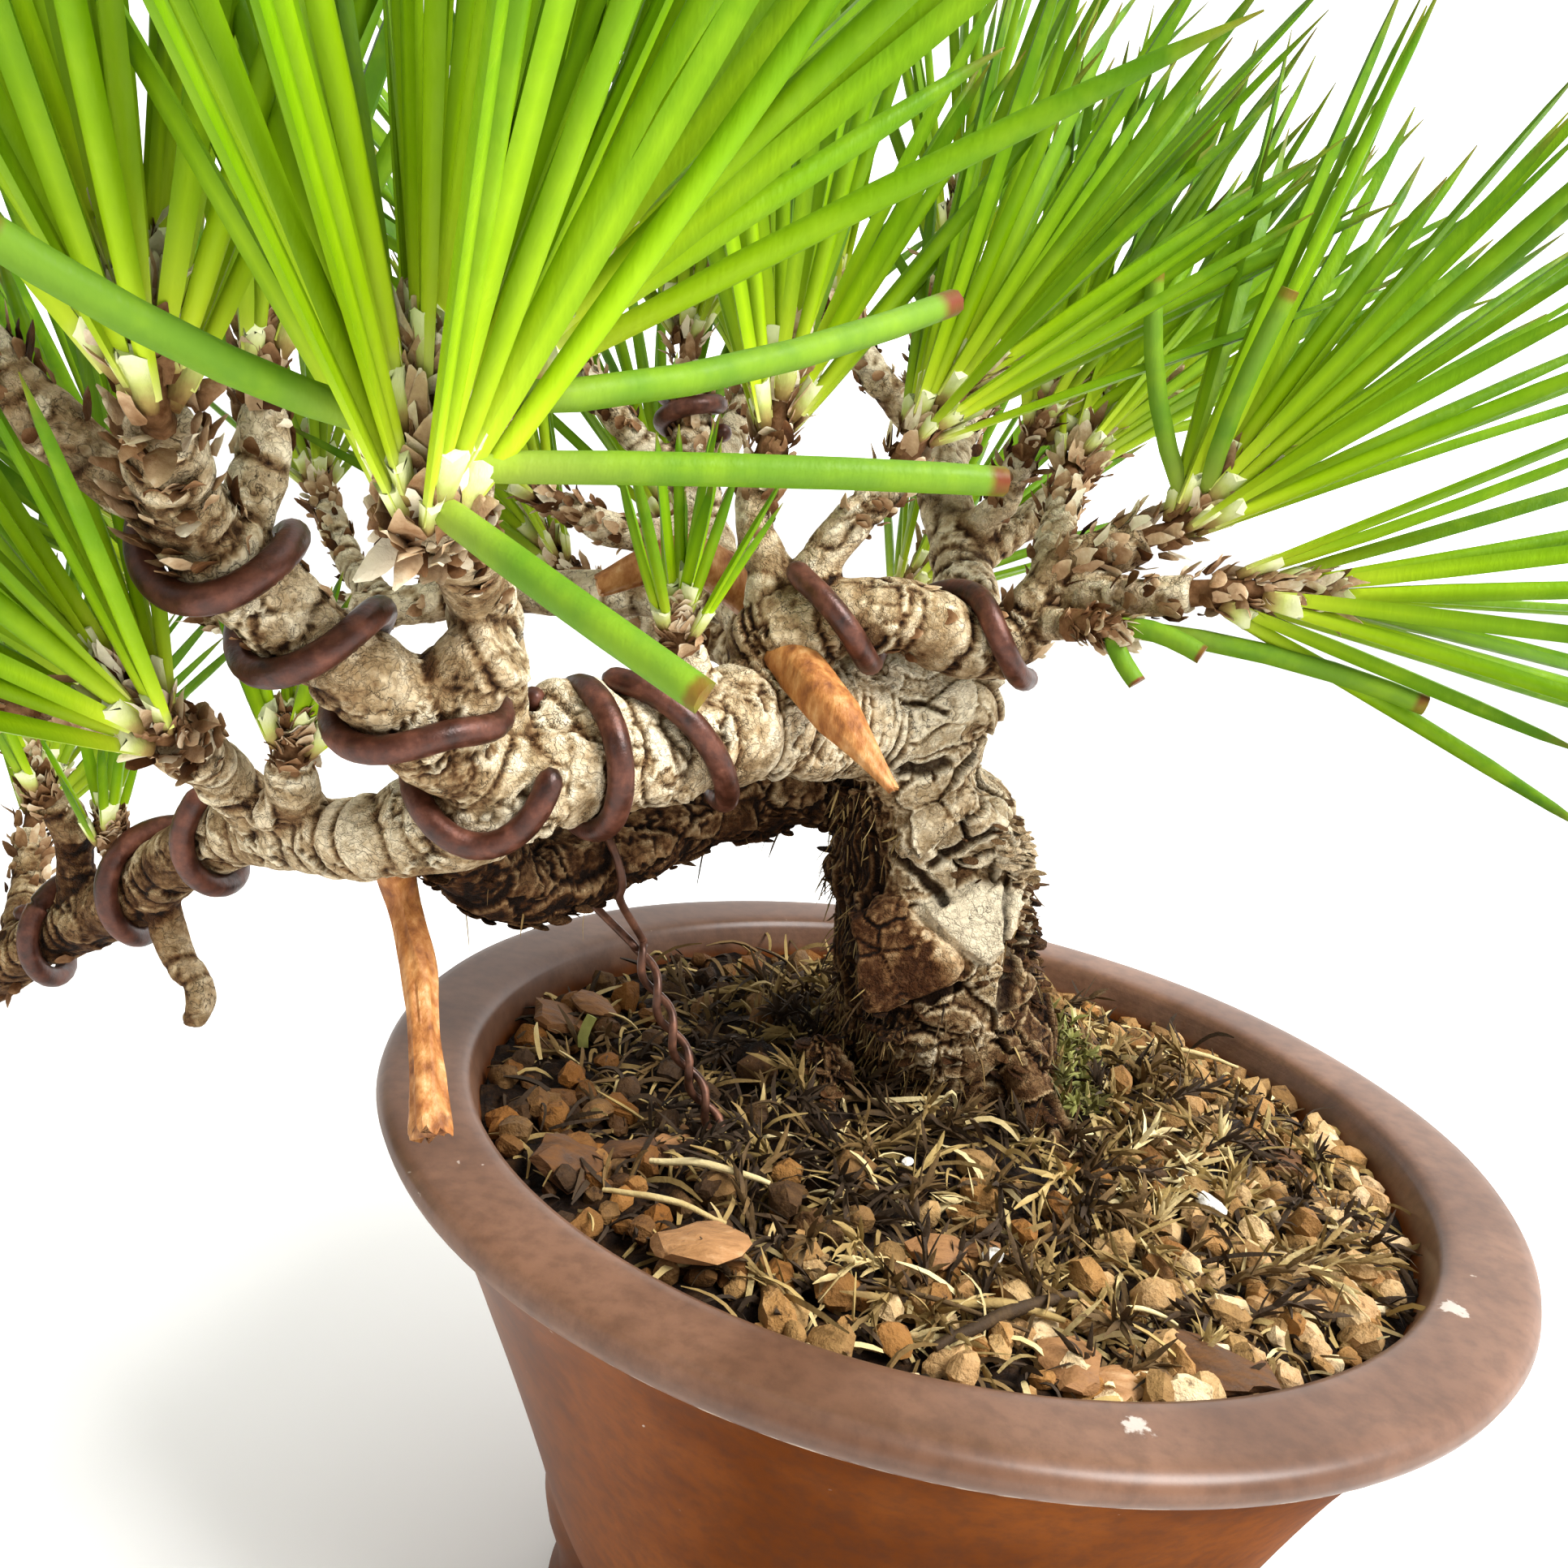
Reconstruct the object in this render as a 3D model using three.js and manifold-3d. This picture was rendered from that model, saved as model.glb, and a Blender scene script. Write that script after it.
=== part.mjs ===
// Small black pine grown as a bonsai, in a round unglazed stoneware pot.
// Millimetres, +Z up. The origin is the middle of the pot's flat base, on the surface it stands on.
// The trunk leans out over the pot's left side (-X), and its branches are held by training wire.

import * as THREE from 'three';
import { mergeVertices } from 'three/addons/utils/BufferGeometryUtils.js';
import Module from 'manifold-3d';

const wasm = await Module();
wasm.setup();

// ---- Driving dimensions ----------------------------------------------------------------------

const GAP = 0.3;                 // air between two pieces that touch
const SEED = 4117;               // start of every random draw

const RIM_RADIUS = 40;           // the pot's flat lip, outside
const RIM_INNER_RADIUS = 33.9;   // the pot's mouth
const RIM_THICKNESS = 2.3;       // the lip's outer edge
const POT_HEIGHT = 46;
const FLOOR_TOP = 7.5;           // inside the pot
const BASE_RADIUS = 16.5;        // flat base that the pot stands on
const DRAIN_RADIUS = 2.4;
const DRAIN_CIRCLE = 9;          // three drain holes on this radius
const FOOT_COUNT = 3;
const FOOT_HALF_ANGLE = 0.36;    // radians
const FOOT_FIRST_ANGLE = Math.PI;
const POT_SIDES = 36;

const SOIL_EDGE = 43.2;          // soil height at the wall
const SOIL_CROWN = 46.6;         // soil height round the trunk
const TRUNK_AT = [-0.5, 4];      // where the trunk stands in it
const SOIL_SPOKES = 32;
const SOIL_RINGS = 8;
const LITTER_DEPTH = 0.8;        // moss and litter heaped round the trunk
const LITTER_RADIUS = 13;
const GRANULE_COUNT = 136;       // large clay granules, half sunk in the soil
const GRANULE_RING = [13, 31.4]; // they lie between these radii, and clear of the trunk
const GRANULE_CLEARING = 13.5;
const GRANULE_SIZES = [1.15, 1.65];
const GOLDEN_ANGLE = 2.39996;    // radians, the turn from one leaf or needle to the next

const WIRE_RADIUS = 0.75;        // training wire
const WIRE_SIDES = 5;
const WIRE_POINTS_PER_TURN = 11;
const WIRE_BEND_ROOM = 0.4;      // a wire's straight steps cut inside its curve by less than this

const GUY_WIRE_RADIUS = 0.28;    // one strand of the twisted guy wire
const GUY_WIRE_FOOT = [-14.7, -10, 43];
const GUY_WIRE_KNOT = [-23.1, -8, 56.5];
const GUY_WIRE_TWIST_RADIUS = 0.46;
const GUY_WIRE_TURNS = 3;
const GUY_WIRE_SAG = 1;
const GUY_WIRE_HOLE_RADIUS = 1.7;
const GUY_WIRE_SADDLE = 0.68;    // where on the lower limb it is folded over, from 0 to 1
const GUY_WIRE_WRAP = 118;       // degrees that it goes round the limb on each side

const NEEDLE_WIDTH = 1.45;
const NEEDLE_DEPTH = 0.9;
const NEEDLE_REACH = 0.9;        // radius that holds a needle's section
const CORE_RADIUS = 1.7;         // slim woody core of a tuft
const CORE_SIDES = 6;
const CORE_SHARE = 0.27;         // its length against the needles', within the two limits
const CORE_LENGTHS = [3, 8];
const TWIG_SIDES = 5;
const TWIG_UNEVEN = 0.04;
const SLIVER = 0.05;             // thin triangles that joining leaves fold away within this

// ---- Materials -------------------------------------------------------------------------------

const finish = (colour, roughness, metalness = 0) =>
  new THREE.MeshStandardMaterial({ color: colour, roughness, metalness });

const STONEWARE = finish(0x70523f, 0.62);
const SOIL = finish(0x3b2a1b, 0.95);
const BARK = finish(0x8f7f6d, 0.9);
const TRAINING_WIRE = finish(0x5b4136, 0.45, 0.35);
const COPPER = finish(0x4c3226, 0.4, 0.6);
const NEEDLE_GREEN = finish(0x6fa51f, 0.5);
const NEEDLE_DARK = finish(0x3f6d22, 0.5);

// ---- Small tools: random draws, solids, lofts ------------------------------------------------

// Returns a function that draws the same even numbers from 0 to 1 for the same seed.
function drawFrom(seed) {
  let state = seed >>> 0;
  return () => {
    state = (state + 0x6d2b79f5) >>> 0;
    let t = state;
    t = Math.imul(t ^ (t >>> 15), t | 1);
    t ^= t + Math.imul(t ^ (t >>> 7), t | 61);
    return ((t ^ (t >>> 14)) >>> 0) / 4294967296;
  };
}

const vec = (p) => new THREE.Vector3(...p);

// A closed three.js geometry becomes a solid that can be joined and cut.
function solid(geometry) {
  const bare = geometry.clone();
  bare.deleteAttribute('normal');
  bare.deleteAttribute('uv');
  const merged = mergeVertices(bare, 1e-4);
  const corners = merged.index.array;
  const triangles = [];
  for (let i = 0; i < corners.length; i += 3) {
    const [a, b, c] = [corners[i], corners[i + 1], corners[i + 2]];
    if (a !== b && b !== c && c !== a) triangles.push(a, b, c);
  }
  return new wasm.Manifold(new wasm.Mesh({
    numProp: 3,
    vertProperties: new Float32Array(merged.attributes.position.array),
    triVerts: new Uint32Array(triangles),
  }));
}

function geometryOf(manifold) {
  const mesh = manifold.asOriginal().simplify(SLIVER).getMesh();
  const geometry = new THREE.BufferGeometry();
  geometry.setAttribute('position', new THREE.BufferAttribute(new Float32Array(mesh.vertProperties), 3));
  geometry.setIndex([...mesh.triVerts]);
  return geometry;
}

const joined = (solids) => solids.reduce((whole, next) => whole.add(next));

// Rings of points, one after another, become a closed skin with a fan over each end, or with all
// its sides run together where a single point ends it.
function loft(rings, point) {
  const sides = rings[0].length;
  const positions = rings.flat().flatMap((p) => p.toArray());
  const index = [];
  for (let i = 0; i + 1 < rings.length; i++) {
    for (let j = 0; j < sides; j++) {
      const a = i * sides + j;
      const b = i * sides + (j + 1) % sides;
      index.push(a, b, a + sides, b, b + sides, a + sides);
    }
  }
  const last = (rings.length - 1) * sides;
  for (let j = 1; j + 1 < sides; j++) {
    index.push(0, j + 1, j);
    if (!point) index.push(last, last + j, last + j + 1);
  }
  if (point) {
    positions.push(...point.toArray());
    for (let j = 0; j < sides; j++) index.push(last + j, last + (j + 1) % sides, last + sides);
  }
  const geometry = new THREE.BufferGeometry();
  geometry.setAttribute('position', new THREE.Float32BufferAttribute(positions, 3));
  geometry.setIndex(index);
  return geometry;
}

// ---- Paths that limbs and wires follow -------------------------------------------------------

// A smooth curve through hand-placed points, with a radius at each, and a steady sideways frame:
// "over" points as near to straight up as it can, or to the front on an upright stretch.
class Path {
  constructor(route, radii) {
    this.curve = new THREE.CatmullRomCurve3(route.map(vec), false, 'catmullrom', 0.5);
    this.radii = radii;
    this.upright = Math.abs(vec(route.at(-1)).sub(vec(route[0])).normalize().z) > 0.75;
  }

  radius(t) {
    const x = t * (this.radii.length - 1);
    const i = Math.min(Math.floor(x), this.radii.length - 2);
    return THREE.MathUtils.lerp(this.radii[i], this.radii[i + 1], x - i);
  }

  frame(t) {
    const along = this.curve.getTangent(t);
    const over = this.upright ? new THREE.Vector3(0, -1, 0) : new THREE.Vector3(0, 0, 1);
    over.addScaledVector(along, -over.dot(along)).normalize();
    return { centre: this.curve.getPoint(t), along, over, side: along.clone().cross(over) };
  }

  // The point at an angle round the path: 0 is over it, and positive angles turn towards "side".
  around(t, angle, distance) {
    const { centre, over, side } = this.frame(t);
    return centre.addScaledVector(over, distance * Math.cos(angle))
      .addScaledVector(side, distance * Math.sin(angle));
  }
}

// ---- The tree's skeleton ---------------------------------------------------------------------
// Each limb has its route, the radius at each point, the sides of its section and its steps.
// A twig that carries needles ends flat, and its tuft starts there.

const LIMBS = {
  trunk: {
    route: [[-0.5, 5, 38.5], [-0.5, 4.5, 43.5], [-0.8, 4, 47.5], [-1.9, 3, 53.2], [-3.2, 3, 58.6],
      [-4.6, 2.6, 63.6], [-6.2, 1.6, 68.6], [-8.6, -0.6, 72.6], [-12.4, -3.6, 74]],
    radii: [7.2, 8.8, 8.6, 7.6, 7.2, 6.9, 6.3, 5.8, 4.4], sides: 12, steps: 15, uneven: 0.08,
  },
  upper_limb: {
    route: [[-8.6, -1.5, 72.8], [-15.9, -8, 72.6], [-19.7, -12, 71.9], [-23.5, -16, 71.2],
      [-26.7, -19, 70.4], [-29.8, -21, 68.8], [-32.7, -21, 66.8], [-36.5, -20, 64.7],
      [-40.8, -18, 63.5], [-45.3, -15, 62.7]],
    radii: [4.6, 4.0, 3.7, 3.5, 3.4, 3.3, 3.1, 2.7, 2.5, 2.4], sides: 8, steps: 18, uneven: 0.07,
  },
  lower_limb: {
    route: [[-6, 3, 64.5], [-9.6, 4, 66.2], [-16, 2, 65.9], [-20.6, -2, 64.2], [-24, -5, 62.9],
      [-28, -9, 61], [-31.4, -13, 61.2], [-33.6, -18, 64.6]],
    radii: [4.2, 3.7, 3.5, 3.3, 3.2, 3.1, 2.9, 2.6], sides: 8, steps: 13, uneven: 0.1,
  },
  far_limb: {
    route: [[-43.5, -16, 63.2], [-50.2, -10, 59.8], [-56.5, -5, 54.2], [-62.8, -1, 48.9],
      [-69.1, 2, 44.4], [-75.1, 5, 38.8], [-80.6, 7.4, 35], [-86.6, 8.6, 35.4], [-91, 9, 38.6]],
    radii: [2.7, 2.5, 2.3, 2.3, 2.2, 2.1, 1.9, 1.6, 1.3], sides: 6, steps: 16, uneven: 0.06,
  },
  rising_limb: {
    route: [[-27.6, -19.4, 70], [-31.4, -23, 70.4], [-34.8, -28, 74.3], [-38, -29.6, 76.9],
      [-40.8, -31.6, 79.6], [-42.4, -34, 82], [-42, -37, 84.2], [-41.1, -40.4, 86.4]],
    radii: [3, 2.7, 2.4, 2.4, 2.3, 2.2, 1.9, 1.5], sides: 6, steps: 13, uneven: 0.07,
  },
  right_branch: {
    route: [[-11.4, -4.6, 73], [-17.3, -8, 76.4], [-14.8, -9, 78.8], [-12, -9, 79.9],
      [-8.4, -8, 79.9], [-4.8, -7.2, 78.9], [-2, -6.2, 79.8], [-0.8, -6, 82], [1, -6.4, 84.6],
      [4.6, -7.4, 87]],
    radii: [3, 2.9, 2.6, 2.4, 2.4, 2.3, 2.1, 1.9, 1.8, 1.4], sides: 6, steps: 16, uneven: 0.06,
  },
  sawn_knob: {
    route: [[-32.4, -24.6, 72], [-32.6, -26.4, 74.4], [-31.2, -26.8, 76.2], [-29.4, -27, 77.6]],
    radii: [2.4, 2.4, 2.3, 1.9], sides: 6, steps: 4, uneven: 0.1,
  },
  back_limb: {
    route: [[-8, 3, 70], [-14.3, 8, 73.7], [-20.6, 14.6, 76.7], [-24.6, 18.6, 82], [-26.4, 20.6, 88],
      [-27.8, 22, 94.4]],
    radii: [3.2, 2.6, 2.2, 2, 1.8, 1.3], sides: 6, steps: 7, uneven: 0.06,
  },
  crown_limb: {
    route: [[-5, 2, 72], [-3.4, 8, 77], [-4.4, 14.6, 83], [-7.4, 18.6, 90], [-8.6, 20, 97],
      [-8.6, 20.4, 103]],
    radii: [3.2, 2.7, 2.3, 2, 1.8, 1.3], sides: 6, steps: 7, uneven: 0.06,
  },
  rear_limb: {
    route: [[-11, 5, 68], [-13.6, 13, 68.4], [-19, 22, 70.6], [-25, 30, 74.4], [-29, 37, 80]],
    radii: [3, 2.5, 2.1, 1.8, 1.3], sides: 6, steps: 8, uneven: 0.06,
  },
  side_limb: {
    route: [[-20.6, 15, 77], [-30, 17.6, 75.6], [-40, 17, 74.2], [-50, 15, 71.4], [-58, 13.4, 69.6],
      [-64, 13, 71]],
    radii: [2.1, 1.9, 1.8, 1.6, 1.5, 1.2], sides: 6, steps: 8, uneven: 0.06,
  },
  dead_stub_hanging: {
    route: [[-36.6, -18.8, 64], [-36.1, -17.6, 60.4], [-34.2, -20, 57.4], [-32.5, -23, 53.6],
      [-31.1, -26, 50.2]],
    radii: [1.4, 1.05, 0.85, 0.95, 1.05], sides: 6, steps: 6, uneven: 0.1,
  },
  dead_stub_front: {
    route: [[-17, -8.8, 77.2], [-15, -11.4, 76.2], [-12.4, -14, 74.2], [-8.7, -16.4, 71]],
    radii: [1.4, 1.45, 1.35, 0.35], sides: 6, steps: 5, uneven: 0.05,
  },
  dead_stub_back: {
    route: [[-14.6, 8, 74], [-19.4, 4.6, 78.4], [-24, 2.4, 80.6], [-29.6, 0.6, 78]],
    radii: [1.4, 1.5, 1.6, 0.9], sides: 6, steps: 6, uneven: 0.05,
  },
};

// Twigs: the route from inside the limb that bears each to its flat end.
const TWIGS = {
  front: {
    route: [[-30.4, -20.6, 69], [-31.4, -25, 79], [-30.7, -35, 83.4], [-29.2, -44.4, 85]],
    radii: [2, 1.9, 1.7, 1.4],
  },
  front_right: {
    route: [[-31, -32.6, 82.6], [-30, -36.6, 86.4], [-28.4, -39.4, 89.4]],
    radii: [1.4, 1.3, 1.2],
  },
  dry: {
    route: [[-41.4, -32.4, 80.8], [-40.9, -30.4, 85], [-41.3, -30, 87.6]],
    radii: [1.3, 1.3, 1.1],
  },
  rising_side: {
    route: [[-42.4, -34, 82.4], [-46.6, -36.6, 85], [-50.6, -38, 89]],
    radii: [1.6, 1.5, 1.2],
  },
  left_low: {
    route: [[-45, -15.6, 63], [-46.2, -21, 67.4], [-45.6, -26, 69.9], [-44.9, -30, 71.4]],
    radii: [1.7, 1.6, 1.5, 1.3],
  },
  left_low_side: {
    route: [[-46, -21, 67], [-50.6, -23.4, 69.6], [-54.6, -25.4, 70.4]],
    radii: [1.3, 1.2, 1.1],
  },
  cut_stub: {
    route: [[-42.4, -17, 63.4], [-41.9, -21, 67.4], [-41.6, -22, 69]],
    radii: [1.5, 1.4, 1.2],
  },
  thin_left: {
    route: [[-64, -0.6, 48], [-63.4, -2, 53.6], [-63.5, -3, 56.6], [-64.4, -4, 58.4]],
    radii: [1.5, 1.4, 1.4, 1.2],
  },
  limb_spur: { route: [[-58, -3.6, 52.6], [-58.6, -4.6, 54.6], [-59.2, -5, 56]], radii: [1.1, 1, 0.9] },
  bud: { route: [[-20, -12.4, 73.6], [-21.4, -13.6, 75.4], [-22, -14, 76.8]], radii: [1.5, 1.4, 1.3] },
  middle: {
    route: [[-18, -9.6, 73], [-17.7, -8, 80.8], [-19.1, -8, 83.6], [-19.3, -8, 86.4],
      [-19.1, -8, 88]],
    radii: [1.7, 1.5, 1.3, 1.3, 1.3],
  },
  middle_right: {
    route: [[-16, -8.6, 78], [-14.9, -8, 82.7], [-13.2, -8, 85.4], [-11.6, -8, 87.6],
      [-11, -8, 89]],
    radii: [1.6, 1.4, 1.3, 1.3, 1.3],
  },
  right_low: {
    route: [[0.2, -6.2, 83.2], [3.6, -9.4, 83.4], [7.2, -11.4, 84.4]],
    radii: [1.4, 1.3, 1.2],
  },
  right_back: {
    route: [[-1.2, -6, 81], [0, -1, 83], [1, 4, 86.4], [1.6, 7, 89.4]],
    radii: [1.5, 1.4, 1.3, 1.2],
  },
  right_under: {
    route: [[-1.4, -6, 80.6], [-0.1, -8.4, 81], [1.3, -10.6, 81.5]],
    radii: [1.2, 1.1, 1],
  },
  hook: {
    route: [[-56.2, -5, 53.4], [-54.6, -5.4, 49.4], [-52.4, -6, 47.2], [-52.8, -6, 44.4]],
    radii: [1.3, 1.2, 1.1, 0.9],
  },
  crown_left: { route: [[-8, 19, 91.6], [-12.6, 18, 95], [-16, 17.4, 99]], radii: [1.5, 1.4, 1.2] },
  crown_right: {
    route: [[-4.2, 14, 82.6], [1.4, 16.4, 87], [5.4, 18.4, 92.4]],
    radii: [1.7, 1.5, 1.2],
  },
  crown_back: { route: [[-6.6, 18, 88.4], [-5, 25, 91], [-3.6, 30, 95.4]], radii: [1.6, 1.4, 1.2] },
  crown_front: {
    route: [[-5.2, 15.4, 84], [-2.4, 12.4, 87], [-1.4, 10.6, 91]],
    radii: [1.3, 1.3, 1.2],
  },
  back_left: {
    route: [[-25.4, 19.4, 84.6], [-31, 18.6, 88], [-35.4, 18, 92.4]],
    radii: [1.5, 1.4, 1.2],
  },
  back_low: {
    route: [[-24.4, 18.2, 81.2], [-30.4, 15, 80.6], [-35.4, 13.6, 82.4]],
    radii: [1.5, 1.4, 1.2],
  },
  back_rear: { route: [[-25.6, 20, 86], [-24, 27, 89], [-23.4, 31.6, 93.4]], radii: [1.5, 1.4, 1.2] },
  rear_left: { route: [[-21, 24.6, 71.6], [-29, 27.6, 72], [-35.6, 29.4, 75]], radii: [1.6, 1.4, 1.2] },
  rear_right: { route: [[-16, 17, 69.2], [-11, 24, 72], [-8, 29.4, 76.6]], radii: [1.6, 1.4, 1.2] },
  side_back: { route: [[-48, 15.2, 72], [-53, 21, 74], [-57, 25, 78.4]], radii: [1.4, 1.3, 1.2] },
  side_front: { route: [[-52, 14.6, 70.8], [-57, 9, 72.6], [-62, 6, 76.4]], radii: [1.3, 1.3, 1.2] },
  far_up: { route: [[-76, 5.4, 37.6], [-78.4, 3, 42], [-79.4, 1.6, 46.6]], radii: [1.5, 1.4, 1.2] },
  far_back: { route: [[-70, 2.6, 43.4], [-73, 9, 45.4], [-75, 13.4, 49.4]], radii: [1.5, 1.4, 1.2] },
  far_side: { route: [[-83, 8, 34.8], [-86.4, 3, 37.6], [-88, -0.4, 41.4]], radii: [1.4, 1.3, 1.2] },
};

const BRANCHES = { ...LIMBS, ...TWIGS };

// ---- Needle tufts ----------------------------------------------------------------------------
// One tuft on each twig or limb end: "aim" is where its middle needle points, "spread" the half
// angle of the fan in degrees. Dark ones are last year's needles.

const TUFTS = {
  front: { aim: [-0.05, -0.12, 1], needles: 11, length: 33, spread: 30 },
  front_right: { aim: [0.42, 0.1, 1], needles: 9, length: 31, spread: 27 },
  rising_limb: { aim: [-0.18, -0.1, 1], needles: 10, length: 31, spread: 30 },
  dry: { aim: [0, 0.15, 1], needles: 6, length: 22, spread: 20, dark: true },
  rising_side: { aim: [-0.6, 0, 1], needles: 8, length: 30, spread: 34 },
  left_low: { aim: [-0.5, -0.35, 0.75], needles: 9, length: 22, spread: 30 },
  left_low_side: { aim: [-1, -0.1, 0.35], needles: 7, length: 24, spread: 34 },
  cut_stub: { aim: [0.1, -0.1, 1], needles: 5, length: 9, spread: 28 },
  thin_left: { aim: [-0.25, 0, 1], needles: 6, length: 15, spread: 34 },
  limb_spur: { aim: [0.1, -0.2, 1], needles: 5, length: 9, spread: 24 },
  bud: { aim: [0, -0.1, 1], needles: 6, length: 11.5, spread: 26 },
  middle: { aim: [0.05, 0, 1], needles: 9, length: 28, spread: 30 },
  middle_right: { aim: [0.6, 0.1, 1], needles: 10, length: 30, spread: 30 },
  right_branch: { aim: [0.66, 0.05, 0.95], needles: 11, length: 31, spread: 26 },
  right_low: { aim: [1, -0.15, 0.12], needles: 9, length: 28, spread: 24 },
  right_back: { aim: [0.4, 0.4, 1], needles: 8, length: 29, spread: 32 },
  right_under: { aim: [0.8, -0.5, -0.1], needles: 0, length: 12, spread: 17, dark: true },
  crown_limb: { aim: [0.1, 0.1, 1], needles: 7, length: 28, spread: 34 },
  crown_left: { aim: [-0.5, 0, 1], needles: 8, length: 27, spread: 32 },
  crown_right: { aim: [0.8, 0.2, 1], needles: 8, length: 29, spread: 32 },
  crown_back: { aim: [0.2, 0.9, 1], needles: 8, length: 27, spread: 34 },
  crown_front: { aim: [0.25, -0.2, 1], needles: 7, length: 27, spread: 28 },
  back_limb: { aim: [-0.1, 0.1, 1], needles: 8, length: 26, spread: 36 },
  back_left: { aim: [-0.8, 0, 1], needles: 8, length: 27, spread: 32 },
  back_low: { aim: [-0.8, -0.3, 0.8], needles: 7, length: 24, spread: 32 },
  back_rear: { aim: [0, 0.8, 1], needles: 8, length: 27, spread: 34 },
  rear_limb: { aim: [-0.4, 0.7, 1], needles: 8, length: 28, spread: 34 },
  rear_left: { aim: [-0.9, 0.3, 0.9], needles: 7, length: 27, spread: 32 },
  rear_right: { aim: [0.6, 0.7, 1], needles: 8, length: 28, spread: 34 },
  side_limb: { aim: [-0.9, 0, 0.8], needles: 8, length: 28, spread: 34, dark: true },
  side_back: { aim: [-0.5, 0.8, 0.9], needles: 7, length: 27, spread: 32 },
  side_front: { aim: [-0.4, -0.4, 1], needles: 7, length: 25, spread: 30, dark: true },
  far_limb: { aim: [-0.7, 0, 1], needles: 8, length: 28, spread: 34 },
  far_up: { aim: [-0.1, -0.2, 1], needles: 7, length: 26, spread: 34 },
  far_back: { aim: [-0.1, 0.6, 1], needles: 7, length: 26, spread: 34 },
  far_side: { aim: [-0.5, -0.6, 0.9], needles: 7, length: 26, spread: 32 },
};

// Single needles that stand out of the fans and are cut short by the shears: the bend and the tip
// of each, from a root on the tuft's core.
const STRAY_NEEDLES = {
  front: [
    [[-23.4, -51.4, 83.8], [-17.8, -54, 81.6]],
    [[-18, -44.4, 88.4], [-8.4, -40.6, 89.2]],
    [[-33.4, -52.4, 88.4], [-38.6, -57, 91.8]],
    [[-21.6, -45.4, 89.4], [-10.8, -31, 96.4]],
  ],
  right_branch: [
    [[2.6, -8.6, 94.6], [1.6, -9.4, 102]],
    [[6.6, -11, 94], [8.4, -13, 101.6]],
  ],
  right_under: [
    [[12, -13.2, 82.4], [20.4, -15.4, 80.4]],
    [[4.4, -13, 82.6], [7.6, -14.4, 81.2]],
    [[2.8, -13, 80.6], [4.4, -14, 79]],
  ],
};

// ---- Training wire ---------------------------------------------------------------------------
// Each wire winds round one limb, from one place along it to another (0 is the limb's root and 1
// its tip), starting at an angle in degrees. A negative number of turns winds it the other way.

const WIRES = {
  wire_right_branch: { limb: 'right_branch', from: 0.22, to: 0.66, turns: 1.5, start: 0 },
  wire_upper_limb_root: { limb: 'upper_limb', from: 0.17, to: 0.38, turns: 0.66, start: 135 },
  wire_upper_limb_inner: { limb: 'upper_limb', from: 0.4, to: 0.475, turns: -1.25, start: 100 },
  wire_rising_limb: { limb: 'rising_limb', from: 0.07, to: 0.74, turns: -3.76, start: 286 },
  wire_far_limb: { limb: 'far_limb', from: 0.08, to: 0.53, turns: -2.8, start: -40 },
  wire_back_limb: { limb: 'back_limb', from: 0.82, to: 0.955, turns: 1.9, start: 30 },
};

// ---- Pot -------------------------------------------------------------------------------------

// Outer wall, from above the base up to the underside of the lip: [radius, height].
const POT_WALL = [[18.6, 1.8], [20.4, 5.2], [22.8, 9], [25.3, 14], [27.3, 20], [31.7, 31],
  [34.2, 36.6], [38, POT_HEIGHT - RIM_THICKNESS - 0.5]];
// Inner wall, from the mouth down to the floor: [radius, height].
const POT_INSIDE = [[RIM_INNER_RADIUS, POT_HEIGHT - 0.5], [32.4, 40], [28, 30.5], [23.6, 19],
  [17.6, FLOOR_TOP]];
// Outer face of a foot, from where it leaves the wall down to the ground: [radius, height].
const FOOT_FACE = [[25.2, 13.2], [25.1, 10], [24.6, 7.6], [23.6, 4.8], [23.2, 2.6], [24, 0]];

function radiusAt(profile, z) {
  const rows = [...profile].sort((p, q) => p[1] - q[1]);
  const i = Math.max(1, rows.findIndex((p) => p[1] >= z));
  const [low, high] = [rows[i - 1], rows[i]];
  return THREE.MathUtils.mapLinear(z, low[1], high[1], low[0], high[0]);
}

function potShell() {
  const top = POT_HEIGHT;
  const base = [[0, 0], [BASE_RADIUS, 0], [BASE_RADIUS + 0.3, 1.5]];
  const lip = [[RIM_RADIUS - 0.8, top - RIM_THICKNESS], [RIM_RADIUS, top - RIM_THICKNESS + 0.7],
    [RIM_RADIUS, top - 0.9], [RIM_RADIUS - 0.35, top - 0.25], [RIM_RADIUS - 1.1, top],
    [RIM_INNER_RADIUS + 0.6, top]];
  const profile = [...base, ...POT_WALL, ...lip, ...POT_INSIDE, [0, FLOOR_TOP]];
  const lathe = new THREE.LatheGeometry(profile.map(([r, z]) => new THREE.Vector2(r, z)), POT_SIDES);
  return lathe.rotateX(Math.PI / 2);
}

// A foot grows out of the wall and runs down it to the ground, rounded off at both sides.
function potFoot(middle) {
  const slices = 6;
  const rings = [];
  for (let i = 0; i <= slices; i++) {
    const across = 2 * i / slices - 1;
    const angle = middle + across * FOOT_HALF_ANGLE;
    const face = FOOT_FACE.map(([r, z]) =>
      [THREE.MathUtils.lerp(radiusAt(POT_WALL, Math.max(z, 1.8)) - 0.3, r, 1 - across ** 4), z]);
    const outline = [...face, [BASE_RADIUS - 2, 0], [BASE_RADIUS + 1, 4.5]];
    rings.push(outline.map(([r, z]) => new THREE.Vector3(r * Math.cos(angle), r * Math.sin(angle), z)));
  }
  return loft(rings);
}

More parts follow.
